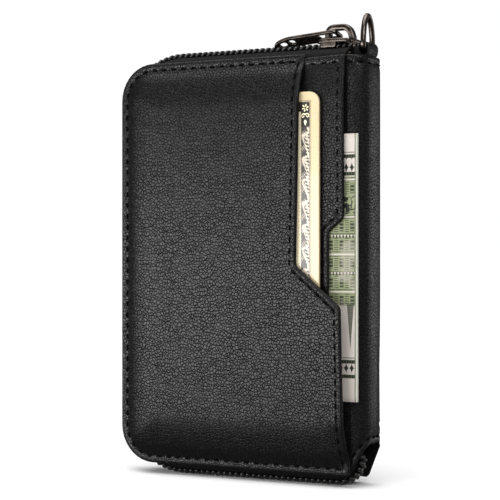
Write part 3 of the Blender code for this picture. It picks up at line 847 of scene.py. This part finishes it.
def lay_flat(side):
    """Lays a panel parallel to the covers: height is the distance from the zip's middle plane."""

    def lay(flat, height):
        return upright(flat, side * np.asarray(height))

    return lay


def lay_wrapped(side):
    """Lays the cover leather: flat on the cover, then round the spine to the middle of its back."""

    def lay(flat, height):
        along, up = flat[:, 0], flat[:, 1]
        radius = np.broadcast_to(height, len(flat)) - (HALF - SPINE_RADIUS)
        angle = np.clip((along - WRAP_START) / SPINE_RADIUS, 0.0, math.pi / 2)
        past = np.maximum(along - WRAP_END, 0.0)
        x = np.minimum(along, WRAP_START) + radius * np.sin(angle)
        y = (HALF - SPINE_RADIUS) + radius * np.cos(angle) - past
        return np.stack([x, side * y, up], axis=1)

    return lay


# ------------------------------------------------------------------ cover leather


def along_to_x(along):
    angle = min(max((along - WRAP_START) / SPINE_RADIUS, 0.0), math.pi / 2)
    return min(along, WRAP_START) + SPINE_RADIUS * math.sin(angle)


def heel_height(x, side):
    """The heel's cut edge, which rises from the cover's bottom edge to the spine's face."""
    share = min(1.0, max(0.0, (x - HEEL_START[side]) / (SPINE_FACE - HEEL_START[side])))
    return BOTTOM + (HEEL_TOP - BOTTOM) * share ** HEEL_POWER[side]


def crest_height(x):
    if x < DIP_START:
        return TOP
    if x < DIP_END[0]:
        return TOP + (DIP_END[1] - TOP) * (x - DIP_START) / (DIP_END[0] - DIP_START)
    return DIP_END[1] + (CREST - DIP_END[1]) * (x - DIP_END[0]) / (SPINE_FACE - DIP_END[0])


def left_corners(inset=0.0, steps=9):
    radius = CORNER - inset
    points = arc((CORNER, TOP - CORNER), radius, 90, 180, steps)
    return points + arc((CORNER, BOTTOM + CORNER), radius, 180, 270, steps)


def make_cover_leather(side, label, paints):
    """The leather of one cover and its half of the spine, bent along the hinge."""
    heel_run = list(np.linspace(HEEL_START[side], WRAP_START, 4)[:-1])
    heel_run += list(np.linspace(WRAP_START, WRAP_END, 12))
    keys = [(along, heel_height(along_to_x(along), side)) for along in heel_run]
    keys.append((SPINE_MIDDLE, keys[-1][1]))
    uncut = (len(keys) - 1,)
    crest = [(SPINE_MIDDLE, CREST)]
    crest += [(along, crest_height(along_to_x(along))) for along in np.linspace(WRAP_END, WRAP_START, 12)]
    crest += [(DIP_START, TOP)]
    keys += crest + left_corners()

    sewn = keys[uncut[0] + 1:] + keys[:uncut[0] + 1]

    def height(flat):
        rim = smooth_step(distance_to_path(flat, sewn), 1.9, 4.5)
        return HALF - 0.12 + 0.12 * rim

    panel = Panel(keys, height, lay_wrapped(side), 1.0, ((24.0, 38.0), (46.0, 72.0)), uncut=uncut)
    leather = panel.build(f"{label}_leather_skin", paints["leather"])
    leather.data.set_sharp_from_angle(angle=math.radians(72.0))
    body = f"{label}_cover"
    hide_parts(f"{label}_leather")
    if side == FRONT:
        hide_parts("spine_leather")
    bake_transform(leather)

    def on_spine(point):
        return point[0] > WRAP_START - 1.0

    def shown(point):
        return side == REAR or point[0] > 56.0 or point[0] < 0.0

    cover_thread = panel.stitches(
        f"{label}_cover_stitches", paints["thread"], lambda p: shown(p) and not on_spine(p)
    )
    finish_piece(cover_thread, body, "leather")
    spine_thread = panel.stitches(f"{label}_spine_stitches", paints["thread"], on_spine)
    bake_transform(spine_thread)


# ------------------------------------------------------------------ outside pockets


def free_fold(from_free):
    """The rounded ridge that the leather makes where it is turned over at a pocket's free edge."""
    return 0.34 * np.clip(1 - ((from_free - 0.8) / 1.35) ** 2, 0.0, 1.0) ** 0.7


def make_card_panel(paints):
    low, notch_low, notch_high, top = (66.7, 5.0), (65.7, 44.6), (53.4, 54.9), (54.5, TOP)
    keys = [(65.4, BOTTOM), (66.5, 3.0), low]
    keys += round_corner(low, notch_low, notch_high, 1.0)
    keys += round_corner(notch_low, notch_high, top, 0.8)
    keys += [top] + left_corners()
    free_start, free_end = 2, 13
    sewn = keys[free_end:] + keys[:free_start + 1]
    free = keys[free_start:free_end + 1]

    def height(flat):
        from_seam = distance_to_path(flat, sewn)
        from_free = distance_to_path(flat, free)
        rise = 0.35 * smooth_step(from_seam, 1.8, 5.0) + 0.65 * smooth_step(from_seam, 2.0, 12.0)
        base = CARD_POCKET_EDGE + CARD_POCKET_RISE * rise
        fold = free_fold(from_free) * smooth_step(from_seam, 1.0, 3.0)
        soft = 0.10 * np.sin(flat[:, 0] / 9.0 + 1.0) * np.sin(flat[:, 1] / 13.0) * rise
        return base + fold + soft + 0.15 * rise * smooth_step(from_free, 14.0, 0.0)

    panel = Panel(keys, height, lay_flat(FRONT), 0.85, ((31.0, 34.0), (29.0, 80.0)), step=0.6)
    leather = panel.build("card_pocket_leather", paints["leather"])
    finish_piece(leather, "front_cover", "leather", "card_pocket_panel")
    thread = panel.stitches("card_pocket_stitches", paints["thread"])
    finish_piece(thread, "front_cover", "leather")


def make_note_panel(paints):
    low, step_low, step_high, top = (61.3, 5.0), (61.3, 63.2), (65.5, 66.5), (65.3, 106.9)
    keys = [(10.0, 5.8), low]
    keys += round_corner(low, step_low, step_high, 0.8, 3)
    keys += round_corner(step_low, step_high, top, 1.0, 3)
    keys += [top, (10.0, 104.9), (2.6, 97.6), (2.6, 12.8)]
    free = keys[1:11]

    def height(flat):
        from_free = distance_to_path(flat, free)
        rise = smooth_step(flat[:, 0], 5.0, 18.0) * smooth_step(flat[:, 1], 4.0, 12.0)
        rise = rise * smooth_step(flat[:, 1], TOP, 96.0)
        fold = free_fold(from_free)
        return NOTE_POCKET_EDGE + NOTE_POCKET_RISE * rise + 0.6 * fold * rise

    panel = Panel(keys, height, lay_flat(FRONT), 0.65, ((34.0, 30.0), (34.0, 78.0)))
    leather = panel.build("note_pocket_leather", paints["leather"])
    finish_piece(leather, "front_cover", "leather", "note_pocket_panel")

    def shown(point):
        return point[0] > 54.0 and point[1] > 40.0

    thread = panel.stitches("note_pocket_stitches", paints["thread"], shown, -0.12)
    finish_piece(thread, "front_cover", "leather")


# ------------------------------------------------------------------ card and notes


def card_lift(x):
    """The card's back is flat near its free edge and bends down towards the pocket's sewn edge."""
    return CARD_BACK - CARD_BEND * np.clip((60.0 - np.asarray(x)) / 54.0, 0.0, 1.05) ** 3


def make_card(paints):
    low, high = local_box("payment_card")
    low[0] -= CARD_SHIFT
    high[0] -= CARD_SHIFT
    radius = 2.7
    keys = []
    corners = ((high[0], low[2], -90), (high[0], high[2], 0), (low[0], high[2], 90), (low[0], low[2], 180))
    for x, z, start in corners:
        centre_x = x - radius if x > 30 else x + radius
        centre_z = z - radius if z > 50 else z + radius
        keys += arc((centre_x, centre_z), radius, start, start + 90, 8)
    thickness = 0.76
    low_levels = ((0.25, 0.0), (0.06, 0.0), (0.0, 0.06))
    levels = low_levels + tuple((inset, thickness - level) for inset, level in reversed(low_levels))
    rings = []
    for inset, level in levels:
        flat = offset_loop(keys, np.full(len(keys), inset))
        rings.append(upright(flat, -(card_lift(flat[:, 0]) + level)))
    card = new_piece("printed_card", bridge(rings), paints["card"], smooth=False)
    finish_piece(card, "payment_card", "card", "payment_card")
    make_card_ornament(low, high, thickness, paints)


def ribbon(path, width, face):
    """A flat strip of print along a 2D path, face giving its distance from the middle plane."""
    path = np.asarray(path, float)
    along = np.gradient(path, axis=0)
    along /= np.linalg.norm(along, axis=1)[:, None] + 1e-9
    side = np.stack([-along[:, 1], along[:, 0]], axis=1)
    width = np.broadcast_to(width, len(path))[:, None] / 2
    rings = []
    for hand, depth in ((-1, 0.0), (1, 0.0), (1, PRINT_THICKNESS), (-1, PRINT_THICKNESS)):
        flat = path + hand * side * width
        rings.append(upright(flat, -(face(flat[:, 0]) + depth)))
    columns = [np.array([ring[index] for ring in rings]) for index in range(len(path))]
    return bridge(columns)


def spiral(centre, radius, turns, start, hand):
    t = np.linspace(0.0, 1.0, 26)
    angle = start + hand * turns * 2 * math.pi * t
    reach = radius * (0.18 + 0.82 * t)
    return np.stack([centre[0] + reach * np.cos(angle), centre[1] + reach * np.sin(angle)], axis=1)


def make_card_ornament(low, high, thickness, paints):
    """Dark blocks with gilt scrolls in the band at the card's four corners."""
    def face(x):
        return card_lift(x) + thickness + 0.004

    def gilt_face(x):
        return face(x) + PRINT_THICKNESS

    dark, gilt = [], []
    for hand_x in (-1, 1):
        for hand_z in (-1, 1):
            edge_x = high[0] if hand_x > 0 else low[0]
            edge_z = high[2] if hand_z > 0 else low[2]

            def spot(inset_x, inset_z):
                return edge_x - hand_x * inset_x, edge_z - hand_z * inset_z

            def oriented(points, upright):
                return [spot(a, b) if upright else spot(b, a) for a, b in points]

            tall_block = [spot(PRINT_INSET, inset) for inset in (2.65, 4.5, 6.5, 8.7)]
            wide_block = [spot(inset, PRINT_INSET) for inset in (4.8, 7.0, 9.6)]
            dark += [ribbon(block, PRINT_WIDTH, face) for block in (tall_block, wide_block)]
            for upright, shift in ((True, 0.0), (False, 1.9)):
                motif = []
                middle = np.array([PRINT_INSET, 4.0 + shift])
                for angle in np.radians(range(15, 375, 60)):
                    tip = np.array([math.cos(angle), math.sin(angle)])
                    petal = [middle + tip * reach for reach in (0.22, 0.5, 0.78, 0.98)]
                    motif.append((petal, np.array([0.08, 0.30, 0.36, 0.10])))
                for hand in (-1, 1):
                    centre = (PRINT_INSET + hand * 0.55, 6.0 + shift)
                    curl = spiral(centre, 0.62, 1.1, -hand * 0.6 - 1.57, -hand)
                    motif.append((curl, np.linspace(0.14, 0.30, len(curl))))
                drop = [(PRINT_INSET, reach + shift) for reach in (6.9, 7.35, 7.8, 8.4)]
                motif.append((drop, np.array([0.1, 0.85, 0.6, 0.06])))
                for path, width in motif:
                    gilt.append(ribbon(oriented(path, upright), width, gilt_face))
    for name, strips, key in (("card_dark_print", dark, "ink"), ("card_gilt_print", gilt, "gilt")):
        piece = new_piece(name, joined(strips), paints[key], smooth=False)
        finish_piece(piece, "payment_card", "card")


def make_notes(paints):
    """Two banknote-sized sheets, each folded on itself, so that the right side shows the folds."""
    low, high = local_box("folded_notes")
    high[0] -= NOTES_SHIFT
    thin = 0.09
    layers = [NOTES_BACK + number * (0.56 - thin) / 3 for number in range(4)]
    blocks = []
    for number in (0, 2):
        inner, outer = layers[number], layers[number + 1]
        left, right = low[0] + number * 0.4, high[0] - number * 0.09
        middle, reach = (inner + outer) / 2, (outer - inner) / 2
        run = np.linspace(low[0] + 2.0, right - 0.5, 24)
        fold = np.radians(np.linspace(80, -80, 7))
        profile = [(left, outer)] + [(x, outer) for x in run]
        profile += [(right - 0.35 + 0.35 * math.cos(a), middle + reach * math.sin(a)) for a in fold]
        profile += [(x, inner) for x in reversed(run)] + [(left, inner)]
        profile = np.array(profile)
        half = left_normals(profile) * thin / 2
        section = np.concatenate([profile + half, (profile - half)[::-1]])
        rings = []
        for z in np.linspace(low[2] + 0.4, high[2], 40):
            wave = 0.03 * math.sin(z / 5.0 + number)
            y = -(section[:, 1] + wave)
            rings.append(np.stack([section[:, 0], y, np.full(len(section), z)], axis=1))
        blocks.append(bridge(rings))
    notes = new_piece("folded_note_sheets", joined(blocks), paints["note"])
    finish_piece(notes, "folded_notes", "paper", "folded_notes")


# ------------------------------------------------------------------ zip


def zip_path(step=0.9):
    """The line of the teeth on a cover: points, outward directions and distance along it."""
    inset = ZIP_CORNER - TEETH_OUT
    keys = [(ZIP_START, TOP + TEETH_OUT)]
    keys += arc((inset, TOP - inset), ZIP_CORNER, 90, 180, 24)
    keys += arc((inset, BOTTOM + inset), ZIP_CORNER, 180, 270, 24)
    keys += arc(BEND_CENTRE, BEND_RADIUS, -90, BEND_SPLIT, 8)
    return resample(keys, step)


def end_path(step=0.5):
    """The line of the teeth inside the spine's heel."""
    return resample(arc(BEND_CENTRE, BEND_RADIUS, BEND_SPLIT, BEND_STOP, 10), step)


def resample(keys, step):
    """A path: evenly spaced points, outward directions and distances along it."""
    points, spots = even_points(keys, int(distances_along(np.array(keys))[-1] / step) + 1)
    return points, -left_normals(points), spots


def sweep(name, path, profile, paint, ripple=0.0):
    """A closed profile of (outward, depth) points swept along a zip path."""
    points, outward, spots = path
    profile = np.array(profile, float)
    rings = []
    for place, out, spot in zip(points, outward, spots):
        shift = ripple * math.sin(spot * 2 * math.pi / 7.3) * math.cos(spot / 5.1)
        offset = profile[:, 0] + shift
        flat = place + offset[:, None] * out
        rings.append(upright(flat, profile[:, 1]))
    piece = new_piece(name, bridge(rings), paint)
    piece.data.set_sharp_from_angle(angle=math.radians(60.0))
    return piece


def tape_profile(side):
    """The tape's section as (outward, depth) points: its outer face, then its face under the coil."""
    outer = [(-2.4, 6.15), (-0.3, 6.12), (0.25, 5.7), (0.62, 5.0), (0.95, 4.4), (1.18, 4.05)]
    outer += [(1.34, 3.6), (1.56, 3.0), (1.6, 2.2), (1.6, 0.2)]
    inner = [(0.8, 0.2), (0.82, 2.2), (0.8, 3.5), (0.72, 3.8), (0.55, 4.02), (0.3, 4.15)]
    inner += [(0.0, 4.2), (-2.5, 4.2)]
    return [(out - TEETH_OUT, side * depth) for out, depth in outer + inner]


def tooth_rings(side, reach=1.0):
    """One nylon loop from its tape across the middle: rings of (along, depth, outward) points."""
    stations = (
        (3.15, 0.30, 0.22, -0.42),
        (2.95, 0.46, 0.42, -0.25),
        (2.30, 0.56, 0.62, -0.04),
        (1.40, 0.58, 0.70, 0.02),
        (0.60, 0.56, 0.66, 0.02),
        (0.00, 0.50, 0.55, -0.02),
        (-0.34, 0.30, 0.34, -0.08),
    )
    turn = np.linspace(0, 2 * math.pi, 10, endpoint=False)
    rings = []
    for depth, wide, tall, rise in stations:
        tall_part = tall * np.sin(turn) + rise
        along = wide * np.cos(turn) + 0.38 * tall_part + 0.10 * (depth - 1.4)
        depth *= reach if depth > 0 else 1.0
        rings.append(np.stack([along, np.full(len(turn), side * depth), tall_part], axis=1))
    return rings


def make_teeth(name, path, side, phase, paint, start=0.4, stop=0.3, reaches=(1.0, 1.0)):
    """A row of loops along a zip path; reaches gives their length before and inside the last bend."""
    points, outward, spots = path
    blocks = []
    place = start + phase * TOOTH_PITCH
    while place < spots[-1] - stop:
        x = np.interp(place, spots, points[:, 0])
        z = np.interp(place, spots, points[:, 1])
        out = np.array([np.interp(place, spots, outward[:, axis]) for axis in (0, 1)])
        out /= np.linalg.norm(out)
        along = np.array([-out[1], out[0]]) * -1.0
        bend = smooth_step(place, spots[-1] - 5.0, spots[-1] - 1.0)
        rings = tooth_rings(side, reaches[0] + (reaches[1] - reaches[0]) * float(bend))
        block = []
        for ring in rings:
            flat = np.array([x, z]) + ring[:, :1] * along + ring[:, 2:] * out
            block.append(upright(flat, ring[:, 1]))
        blocks.append(bridge(block))
        place += TOOTH_PITCH
    return new_piece(name, joined(blocks), paint)


def make_zip(paints):
    path = zip_path()
    for side, label, phase in TEETH_ROWS:
        body = f"{label}_cover"
        tape = sweep(f"{label}_tape", path, tape_profile(side), paints["tape"], 0.05)
        finish_piece(tape, body, "tape", f"{label}_zip_tape")
        teeth = make_teeth(f"{label}_coil", path, side, phase, paints["teeth"], reaches=(1.0, 0.5))
        finish_piece(teeth, body, "teeth", f"{label}_zip_teeth")
    ending = end_path()
    total = path[2][-1]
    left_over = TOOTH_PITCH - (total - 0.4) % TOOTH_PITCH
    for side, label, phase in TEETH_ROWS:
        teeth = make_teeth(
            f"end_{label}_coil", ending, side, phase, paints["teeth"], left_over * 0.5, 0.2, (0.45, 0.45)
        )
        nodes = ("zip_end_teeth",) if side == FRONT else ()
        finish_piece(teeth, "spine", "teeth", *nodes)
    flap = [(-1.45, -4.7), (-1.1, -4.75), (-0.9, -4.4), (-0.88, 0.0)]
    flap += [(-0.9, 4.4), (-1.1, 4.75), (-1.45, 4.7), (-1.4, 0.0)]
    tape = sweep("end_tape", ending, flap, paints["tape"])
    finish_piece(tape, "spine", "tape", "zip_end_tape")
    make_tape_flap(paints)
    make_tape_tab(paints)


def make_tape_flap(paints):
    """The rear tape's turned end, which closes the heel behind the last teeth."""
    outline = [(62.5, 1.9), (66.3, 1.7), (67.0, 2.3), (70.0, 9.7), (69.3, 12.5), (66.0, 12.5), (62.5, 9.0)]
    rings = []
    for depth, shrink in ((3.5, 0.12), (3.62, 0.0), (3.95, 0.0), (4.07, 0.12)):
        flat = offset_loop(outline, np.full(len(outline), shrink))
        rings.append(upright(flat, depth))
    flap = new_piece("zip_end_flap", bridge(rings), paints["tape"], smooth=False)
    finish_piece(flap, "spine", "tape")


def make_tape_tab(paints):
    """The folded ends of both zip tapes, tucked together behind the slider at the spine's top."""
    rings = []
    for z, grow in ((104.0, 0.0), (107.6, 0.0), (108.5, -0.05), (108.9, -0.25), (109.05, -0.55)):
        outline = rounded(65.85 - grow, -3.2 - grow, 67.45 + grow, 3.2 + grow, 0.5 + min(grow, 0.0) * 0.5)
        rings.append(np.array([(x, y, z) for x, y in outline]))
    finish_piece(new_piece("tape_end_tab", bridge(rings), paints["tape"]), "spine", "tape")


# ------------------------------------------------------------------ metal parts


def plate(name, outlines, thickness, edge, paint, resolution=3):
    """A flat plate in the XY plane with rounded edges, from outlines in local millimetres."""
    curve = bpy.data.curves.new(name, "CURVE")
    curve.dimensions = "2D"
    curve.fill_mode = "BOTH"
    curve.extrude = (thickness / 2 - edge) * MM
    curve.bevel_depth = edge * MM
    curve.bevel_resolution = resolution
    curve.offset = -edge * MM
    for outline in outlines:
        spline = curve.splines.new("POLY")
        spline.points.add(len(outline) - 1)
        for point, (x, y) in zip(spline.points, outline):
            point.co = (x * MM, y * MM, 0.0, 1.0)
        spline.use_cyclic_u = True
    source = bpy.data.objects.new(name + "_curve", curve)
    bpy.context.scene.collection.objects.link(source)
    bpy.context.view_layer.update()
    depsgraph = bpy.context.evaluated_depsgraph_get()
    mesh = bpy.data.meshes.new_from_object(source.evaluated_get(depsgraph))
    bpy.data.objects.remove(source, do_unlink=True)
    bpy.data.curves.remove(curve)
    tidy_mesh(mesh, 1e-6)
    mesh.name = name
    mesh.materials.clear()
    return new_object(name, mesh, paint)


def cut_stations(mesh, positions):
    """Adds a row of vertices across the mesh at each x position, so that it can bend."""
    bm = bmesh.new()
    bm.from_mesh(mesh)
    for x in positions:
        geometry = bm.verts[:] + bm.edges[:] + bm.faces[:]
        place = (x * MM, 0, 0)
        bmesh.ops.bisect_plane(bm, geom=geometry, plane_co=place, plane_no=(1, 0, 0), dist=1e-7)
    bm.to_mesh(mesh)
    bm.free()


def shade(obj, angle=35.0):
    """Smooth shading with the flat faces kept flat."""
    for polygon in obj.data.polygons:
        polygon.use_smooth = True
    obj.data.set_sharp_from_angle(angle=math.radians(angle))


def move_vertices(obj, function):
    count = len(obj.data.vertices)
    points = np.empty(count * 3)
    obj.data.vertices.foreach_get("co", points)
    points = function(points.reshape(-1, 3) / MM)
    obj.data.vertices.foreach_set("co", (np.asarray(points) * MM + ORIGIN).ravel())
    obj.data.update()


def rounded(left, bottom, right, top, radius, steps=5):
    points = []
    for x, y, start in ((right - radius, bottom + radius, -90), (right - radius, top - radius, 0),
                        (left + radius, top - radius, 90), (left + radius, bottom + radius, 180)):
        points += arc((x, y), radius, start, start + 90, steps)
    return points


def make_pull(paints):
    """The pull tab: an eye round the crown, a flat neck, two slots and a tip that curls down."""
    axis_x, axis_z = 60.0, 112.95
    length, half = 17.2, 2.5
    eye_corner, tip_corner = 1.1, 1.7
    tip = -length + tip_corner
    outline = arc((-0.35, half - eye_corner), eye_corner, 0, 90, 5)
    outline += arc((tip, half - tip_corner), tip_corner, 90, 180, 6)
    outline += arc((tip, -half + tip_corner), tip_corner, 180, 270, 6)
    outline += arc((-0.35, -half + eye_corner), eye_corner, -90, 0, 5)
    eye = rounded(-5.1, -1.4, -0.35, 1.4, 0.6)
    slots = [rounded(right - 1.7, -1.35, right, 1.35, 0.7) for right in (-11.9, -14.25)]
    obj = plate("pull", [outline, eye] + slots, 0.85, 0.22, paints["metal"])
    cut_stations(obj.data, np.arange(-17.0, 0.6, 0.5))
    roll = math.radians(16.0)
    slope = math.radians(-4.5)

    def bend(points):
        x, y, z = points[:, 0], points[:, 1], points[:, 2]
        reach = np.maximum(0.0, -x - 12.0)
        tip_drop = 0.055 * reach ** 2
        camber = 0.03 * y ** 2
        z = z - tip_drop - camber
        y, z = y * math.cos(roll) + z * math.sin(roll), -y * math.sin(roll) + z * math.cos(roll)
        x, z = x * math.cos(slope) + z * math.sin(slope), -x * math.sin(slope) + z * math.cos(slope)
        return np.stack([x + axis_x, y, z + axis_z], axis=1)

    move_vertices(obj, bend)
    shade(obj)
    finish_piece(obj, "pull_tab", "gunmetal", "pull_tab")


def make_slider(paints):
    """The slider: a top plate with flanges over the teeth, a plate below, a web and the crown."""
    low, high = local_box("slider_body")
    left, right = low[0], high[0]
    outline = arc((right - 1.3, 2.3), 1.3, 0, 80, 4) + [(right - 3.4, 3.85)]
    outline += [(left + 2.6, 3.35)] + arc((left + 1.5, 1.7), 1.5, 90, 180, 5)
    outline += [(x, -y) for x, y in reversed(outline)]
    objects = []
    plates = (("top", 111.3, 1.0, 1.0, 1.0), ("low", 107.4, 0.94, 0.95, -0.6))
    for label, level, share, thick, bulge in plates:
        shape = [(x, y * share) for x, y in outline]
        piece = plate(f"slider_{label}", [shape], thick, 0.25, paints["metal"])
        cut_stations(piece.data, np.arange(left + 1, right, 1.0))
        centre = (left + right) / 2

        def dome(points):
            x, y, z = points.T
            fall = bulge * (0.022 * y ** 2 + 0.012 * (x - centre) ** 2)
            return np.stack([x, y, level + z - fall], axis=1)

        move_vertices(piece, dome)
        objects.append(piece)
    for side in (-1, 1):
        shape = rounded(left + 1.5, 0.0, right - 3.9, 1.5, 0.45)
        flange = plate(f"slider_flange_{side}", [shape], 0.7, 0.2, paints["metal"])

        def stand(points):
            x, y, z = points.T
            lean = 0.05 * (x - left)
            return np.stack([x, side * (3.15 + lean + z), 109.25 + y], axis=1)

        move_vertices(flange, stand)
        objects.append(flange)
    web = plate("slider_web", [rounded(60.8, -0.3, 64.6, 0.3, 0.25)], 3.4, 0.1, paints["metal"], 1)
    move_vertices(web, lambda points: points + np.array([0.0, 0.0, 109.4]))
    objects.append(web)
    body = objects[0]
    context = {"active_object": body, "object": body, "selected_editable_objects": objects,
               "selected_objects": objects}
    with bpy.context.temp_override(**context):
        bpy.ops.object.join()
    body.name = "slider"
    shade(body)
    finish_piece(body, "zip_slider", "gunmetal", "slider_body")

    crown = make_band("crown", crown_path(), 1.0, 0.82, paints["metal"])
    finish_piece(crown, "zip_slider", "gunmetal", "slider_crown")


def crown_path():
    """The crown's middle line, from the slider's front up and over to its tail, as (x, z)."""
    points = [(64.35, 111.3), (64.3, 112.0)]
    points += arc((61.5, 111.95), 2.65, 8, 78, 9)
    points += arc((59.25, 112.95), 1.6, 95, 180, 7)
    points += [(57.65, 112.2), (57.7, 111.4)]
    return even_points(points, 40)[0]


def make_band(name, path, half_width, half_thick, paint):
    """A flat metal band with rounded edges along a path in the XZ plane."""
    turn = np.linspace(0, 2 * math.pi, 20, endpoint=False)
    power = 0.55
    wide = half_width * np.sign(np.cos(turn)) * np.abs(np.cos(turn)) ** power
    thick = half_thick * np.sign(np.sin(turn)) * np.abs(np.sin(turn)) ** power
    rings = []
    for place, up in zip(path, left_normals(path)):
        rings.append(upright(place + thick[:, None] * up, wide))
    return new_piece(name, bridge(rings), paint)


def make_ring(paints):
    """The neck ring's wire: a straight bar below and a long round bow above."""
    half, height, corner = 3.3, 8.25, 1.2
    inner = half - corner
    keys = arc((inner, corner), corner, -90, 0, 6)
    bow = height - corner
    for angle in np.linspace(0, math.pi, 40)[1:-1]:
        keys.append((half * math.cos(angle), corner + bow * math.sin(angle)))
    keys += arc((-inner, corner), corner, 180, 270, 6)
    line = even_points(keys + keys[:1], 97)[0][:-1]
    along = unit_rows(np.roll(line, -1, axis=0) - np.roll(line, 1, axis=0))
    normal = np.stack([along[:, 1], -along[:, 0]], axis=1)
    turn = np.linspace(0, 2 * math.pi, 14, endpoint=False)
    wire = 0.72
    yaw = math.radians(5.0)
    rings = []
    for place, out in zip(line, normal):
        flat = place + wire * np.cos(turn)[:, None] * out
        x = wire * np.sin(turn)
        y = flat[:, 0]
        turned_x = x * math.cos(yaw) - y * math.sin(yaw)
        turned_y = x * math.sin(yaw) + y * math.cos(yaw)
        rings.append(np.stack([RING_BAR[0] + turned_x, turned_y, RING_BAR[1] + flat[:, 1]], axis=1))
    rings.append(rings[0])
    ring = new_piece("ring_wire", bridge(rings, capped=False), paints["metal"])
    finish_piece(ring, "neck_ring", "gunmetal", "neck_ring")


def make_ring_strap(paints):
    """The leather strap folded round the ring's bar, its ends going down inside the spine."""
    radius, thick, half = 1.40, 0.66, 2.7
    path = [(68.0, 98.2), (68.0, 103.0), (67.75, 106.0)]
    path += arc(RING_BAR, radius, 215, 0, 20)
    path += [(69.76, 108.0), (69.62, 107.4), (69.15, 106.6), (68.85, 105.4)]
    path += [(68.75, 103.0), (68.75, 98.2)]
    line = even_points(path, 70)[0]
    across, up = np.array(rounded(-half, -thick / 2, half, thick / 2, 0.25, 3)).T
    rings = []
    for place, out in zip(line, left_normals(line)):
        rings.append(upright(place + up[:, None] * out, across))
    strap = new_piece("ring_strap", bridge(rings), paints["smooth"])
    finish_piece(strap, "spine", "leather", "ring_loop")


# ------------------------------------------------------------------ inside


def make_lining(side, label, paints):
    """Cloth lining of a cover, glued flat with a slightly soft face."""
    top = local_box(f"{label}_lining")[1][2]
    inset = ZIP_CORNER - TEETH_OUT
    keys = arc(BEND_CENTRE, 2.5, -90, 0, 3) + [(64.0, top)]
    keys += arc((inset, TOP - inset), inset - 1.0, 90, 180, 8)
    keys += arc((inset, BOTTOM + inset), inset - 1.0, 180, 270, 8)

    def height(flat):
        return LINING_FACE - 0.02 * np.sin(flat[:, 0] / 3.0) * np.sin(flat[:, 1] / 4.0)

    flip = lay_flat(side)

    def lay(flat, high):
        return flip(flat, 2 * LINING_FACE - LINING_THICKNESS - high)

    panel = Panel(keys, height, lay, 0.38, ((30.0, 34.0), (30.0, 76.0)), step=1.4)
    cloth = panel.build(f"{label}_lining_cloth", paints["lining"], seam=False)
    finish_piece(cloth, f"{label}_cover", "fabric", f"{label}_lining")


def make_slot(node, side, body, wide_low, wide_high, paints):
    """A card slot panel inside a cover: a turned edge and a seam all round."""
    low, high = local_box(node)
    left, bottom, right, top = low[0], low[2], high[0], high[2]
    small, wide = 2.0, 13.2
    upper = wide if wide_high else small
    lower = wide if wide_low else small
    outline = arc((right - small, bottom + small), small, -90, 0, 3)
    outline += arc((right - small, top - small), small, 0, 90, 3)
    outline += arc((left + upper, top - upper), upper, 90, 180, 7)
    outline += arc((left + lower, bottom + lower), lower, 180, 270, 7)

    def height(flat):
        return np.full(len(flat), SLOT_THICKNESS)

    flip = lay_flat(side)

    def lay(flat, high):
        return flip(flat, SLOT_FACE + SLOT_THICKNESS - high)

    centre = ((left + right) / 2, (bottom + top) / 2)
    reach = (top - bottom) / 2 - 14
    skeleton = ((centre[0], centre[1] - reach), (centre[0], centre[1] + reach))
    panel = Panel(outline, height, lay, 0.5, skeleton, step=1.0)
    leather = panel.build(f"{node}_leather", paints["smooth"])
    finish_piece(leather, body, "leather", node)
    finish_piece(panel.stitches(f"{node}_stitches", paints["thread"]), body, "leather")


def make_inside(paints):
    for side, label in SIDES:
        make_lining(side, label, paints)
    slots = (
        ("front_card_slot", FRONT, "front_cover", True, True),
        ("rear_card_slot_lower", REAR, "rear_cover", True, False),
        ("rear_card_slot_upper", REAR, "rear_cover", False, True),
    )
    for node, side, body, wide_low, wide_high in slots:
        make_slot(node, side, body, wide_low, wide_high, paints)
    make_hinge_lining(paints)


def make_hinge_lining(paints):
    """Cloth that joins each cover's lining to the spine's, folded along the hinge."""
    for side, label in SIDES:
        keys = [(62.6, 3.10), (64.6, 3.12), (66.2, 3.05), (67.2, 2.55)]
        keys += [(67.75, 1.6), (67.85, 0.6), (67.85, 0.0)]
        line = even_points(keys, 30)[0]
        half = -left_normals(line) * 0.15
        section = np.concatenate([line + half, (line - half)[::-1]])
        rings = []
        x, y = section[:, 0], side * section[:, 1]
        for z in np.linspace(13.4, 97.2, 60):
            rings.append(np.stack([x, y, np.full(len(section), z)], axis=1))
        cloth = new_piece(f"{label}_hinge_cloth", bridge(rings), paints["lining"])
        if side == FRONT:
            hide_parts("spine_lining")
        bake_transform(cloth)


def paint_kept_nodes(paints):
    """Better materials on the CAD nodes that stay as they are."""
    kept = {
        "spine_board": "board",
        "front_board": "board",
        "rear_board": "board",
        "front_rfid_foil": "foil",
        "rear_rfid_foil": "foil",
        "front_top_stop": "metal",
        "rear_top_stop": "metal",
    }
    for node, key in kept.items():
        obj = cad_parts[node]
        for slot in obj.material_slots:
            slot.material = paints[key]


def main():
    make_stage()
    paints = make_paints()
    for side, label in SIDES:
        make_cover_leather(side, label, paints)
    make_card_panel(paints)
    make_note_panel(paints)
    make_card(paints)
    make_notes(paints)
    make_zip(paints)
    make_pull(paints)
    make_slider(paints)
    make_ring(paints)
    make_ring_strap(paints)
    make_inside(paints)
    paint_kept_nodes(paints)


main()
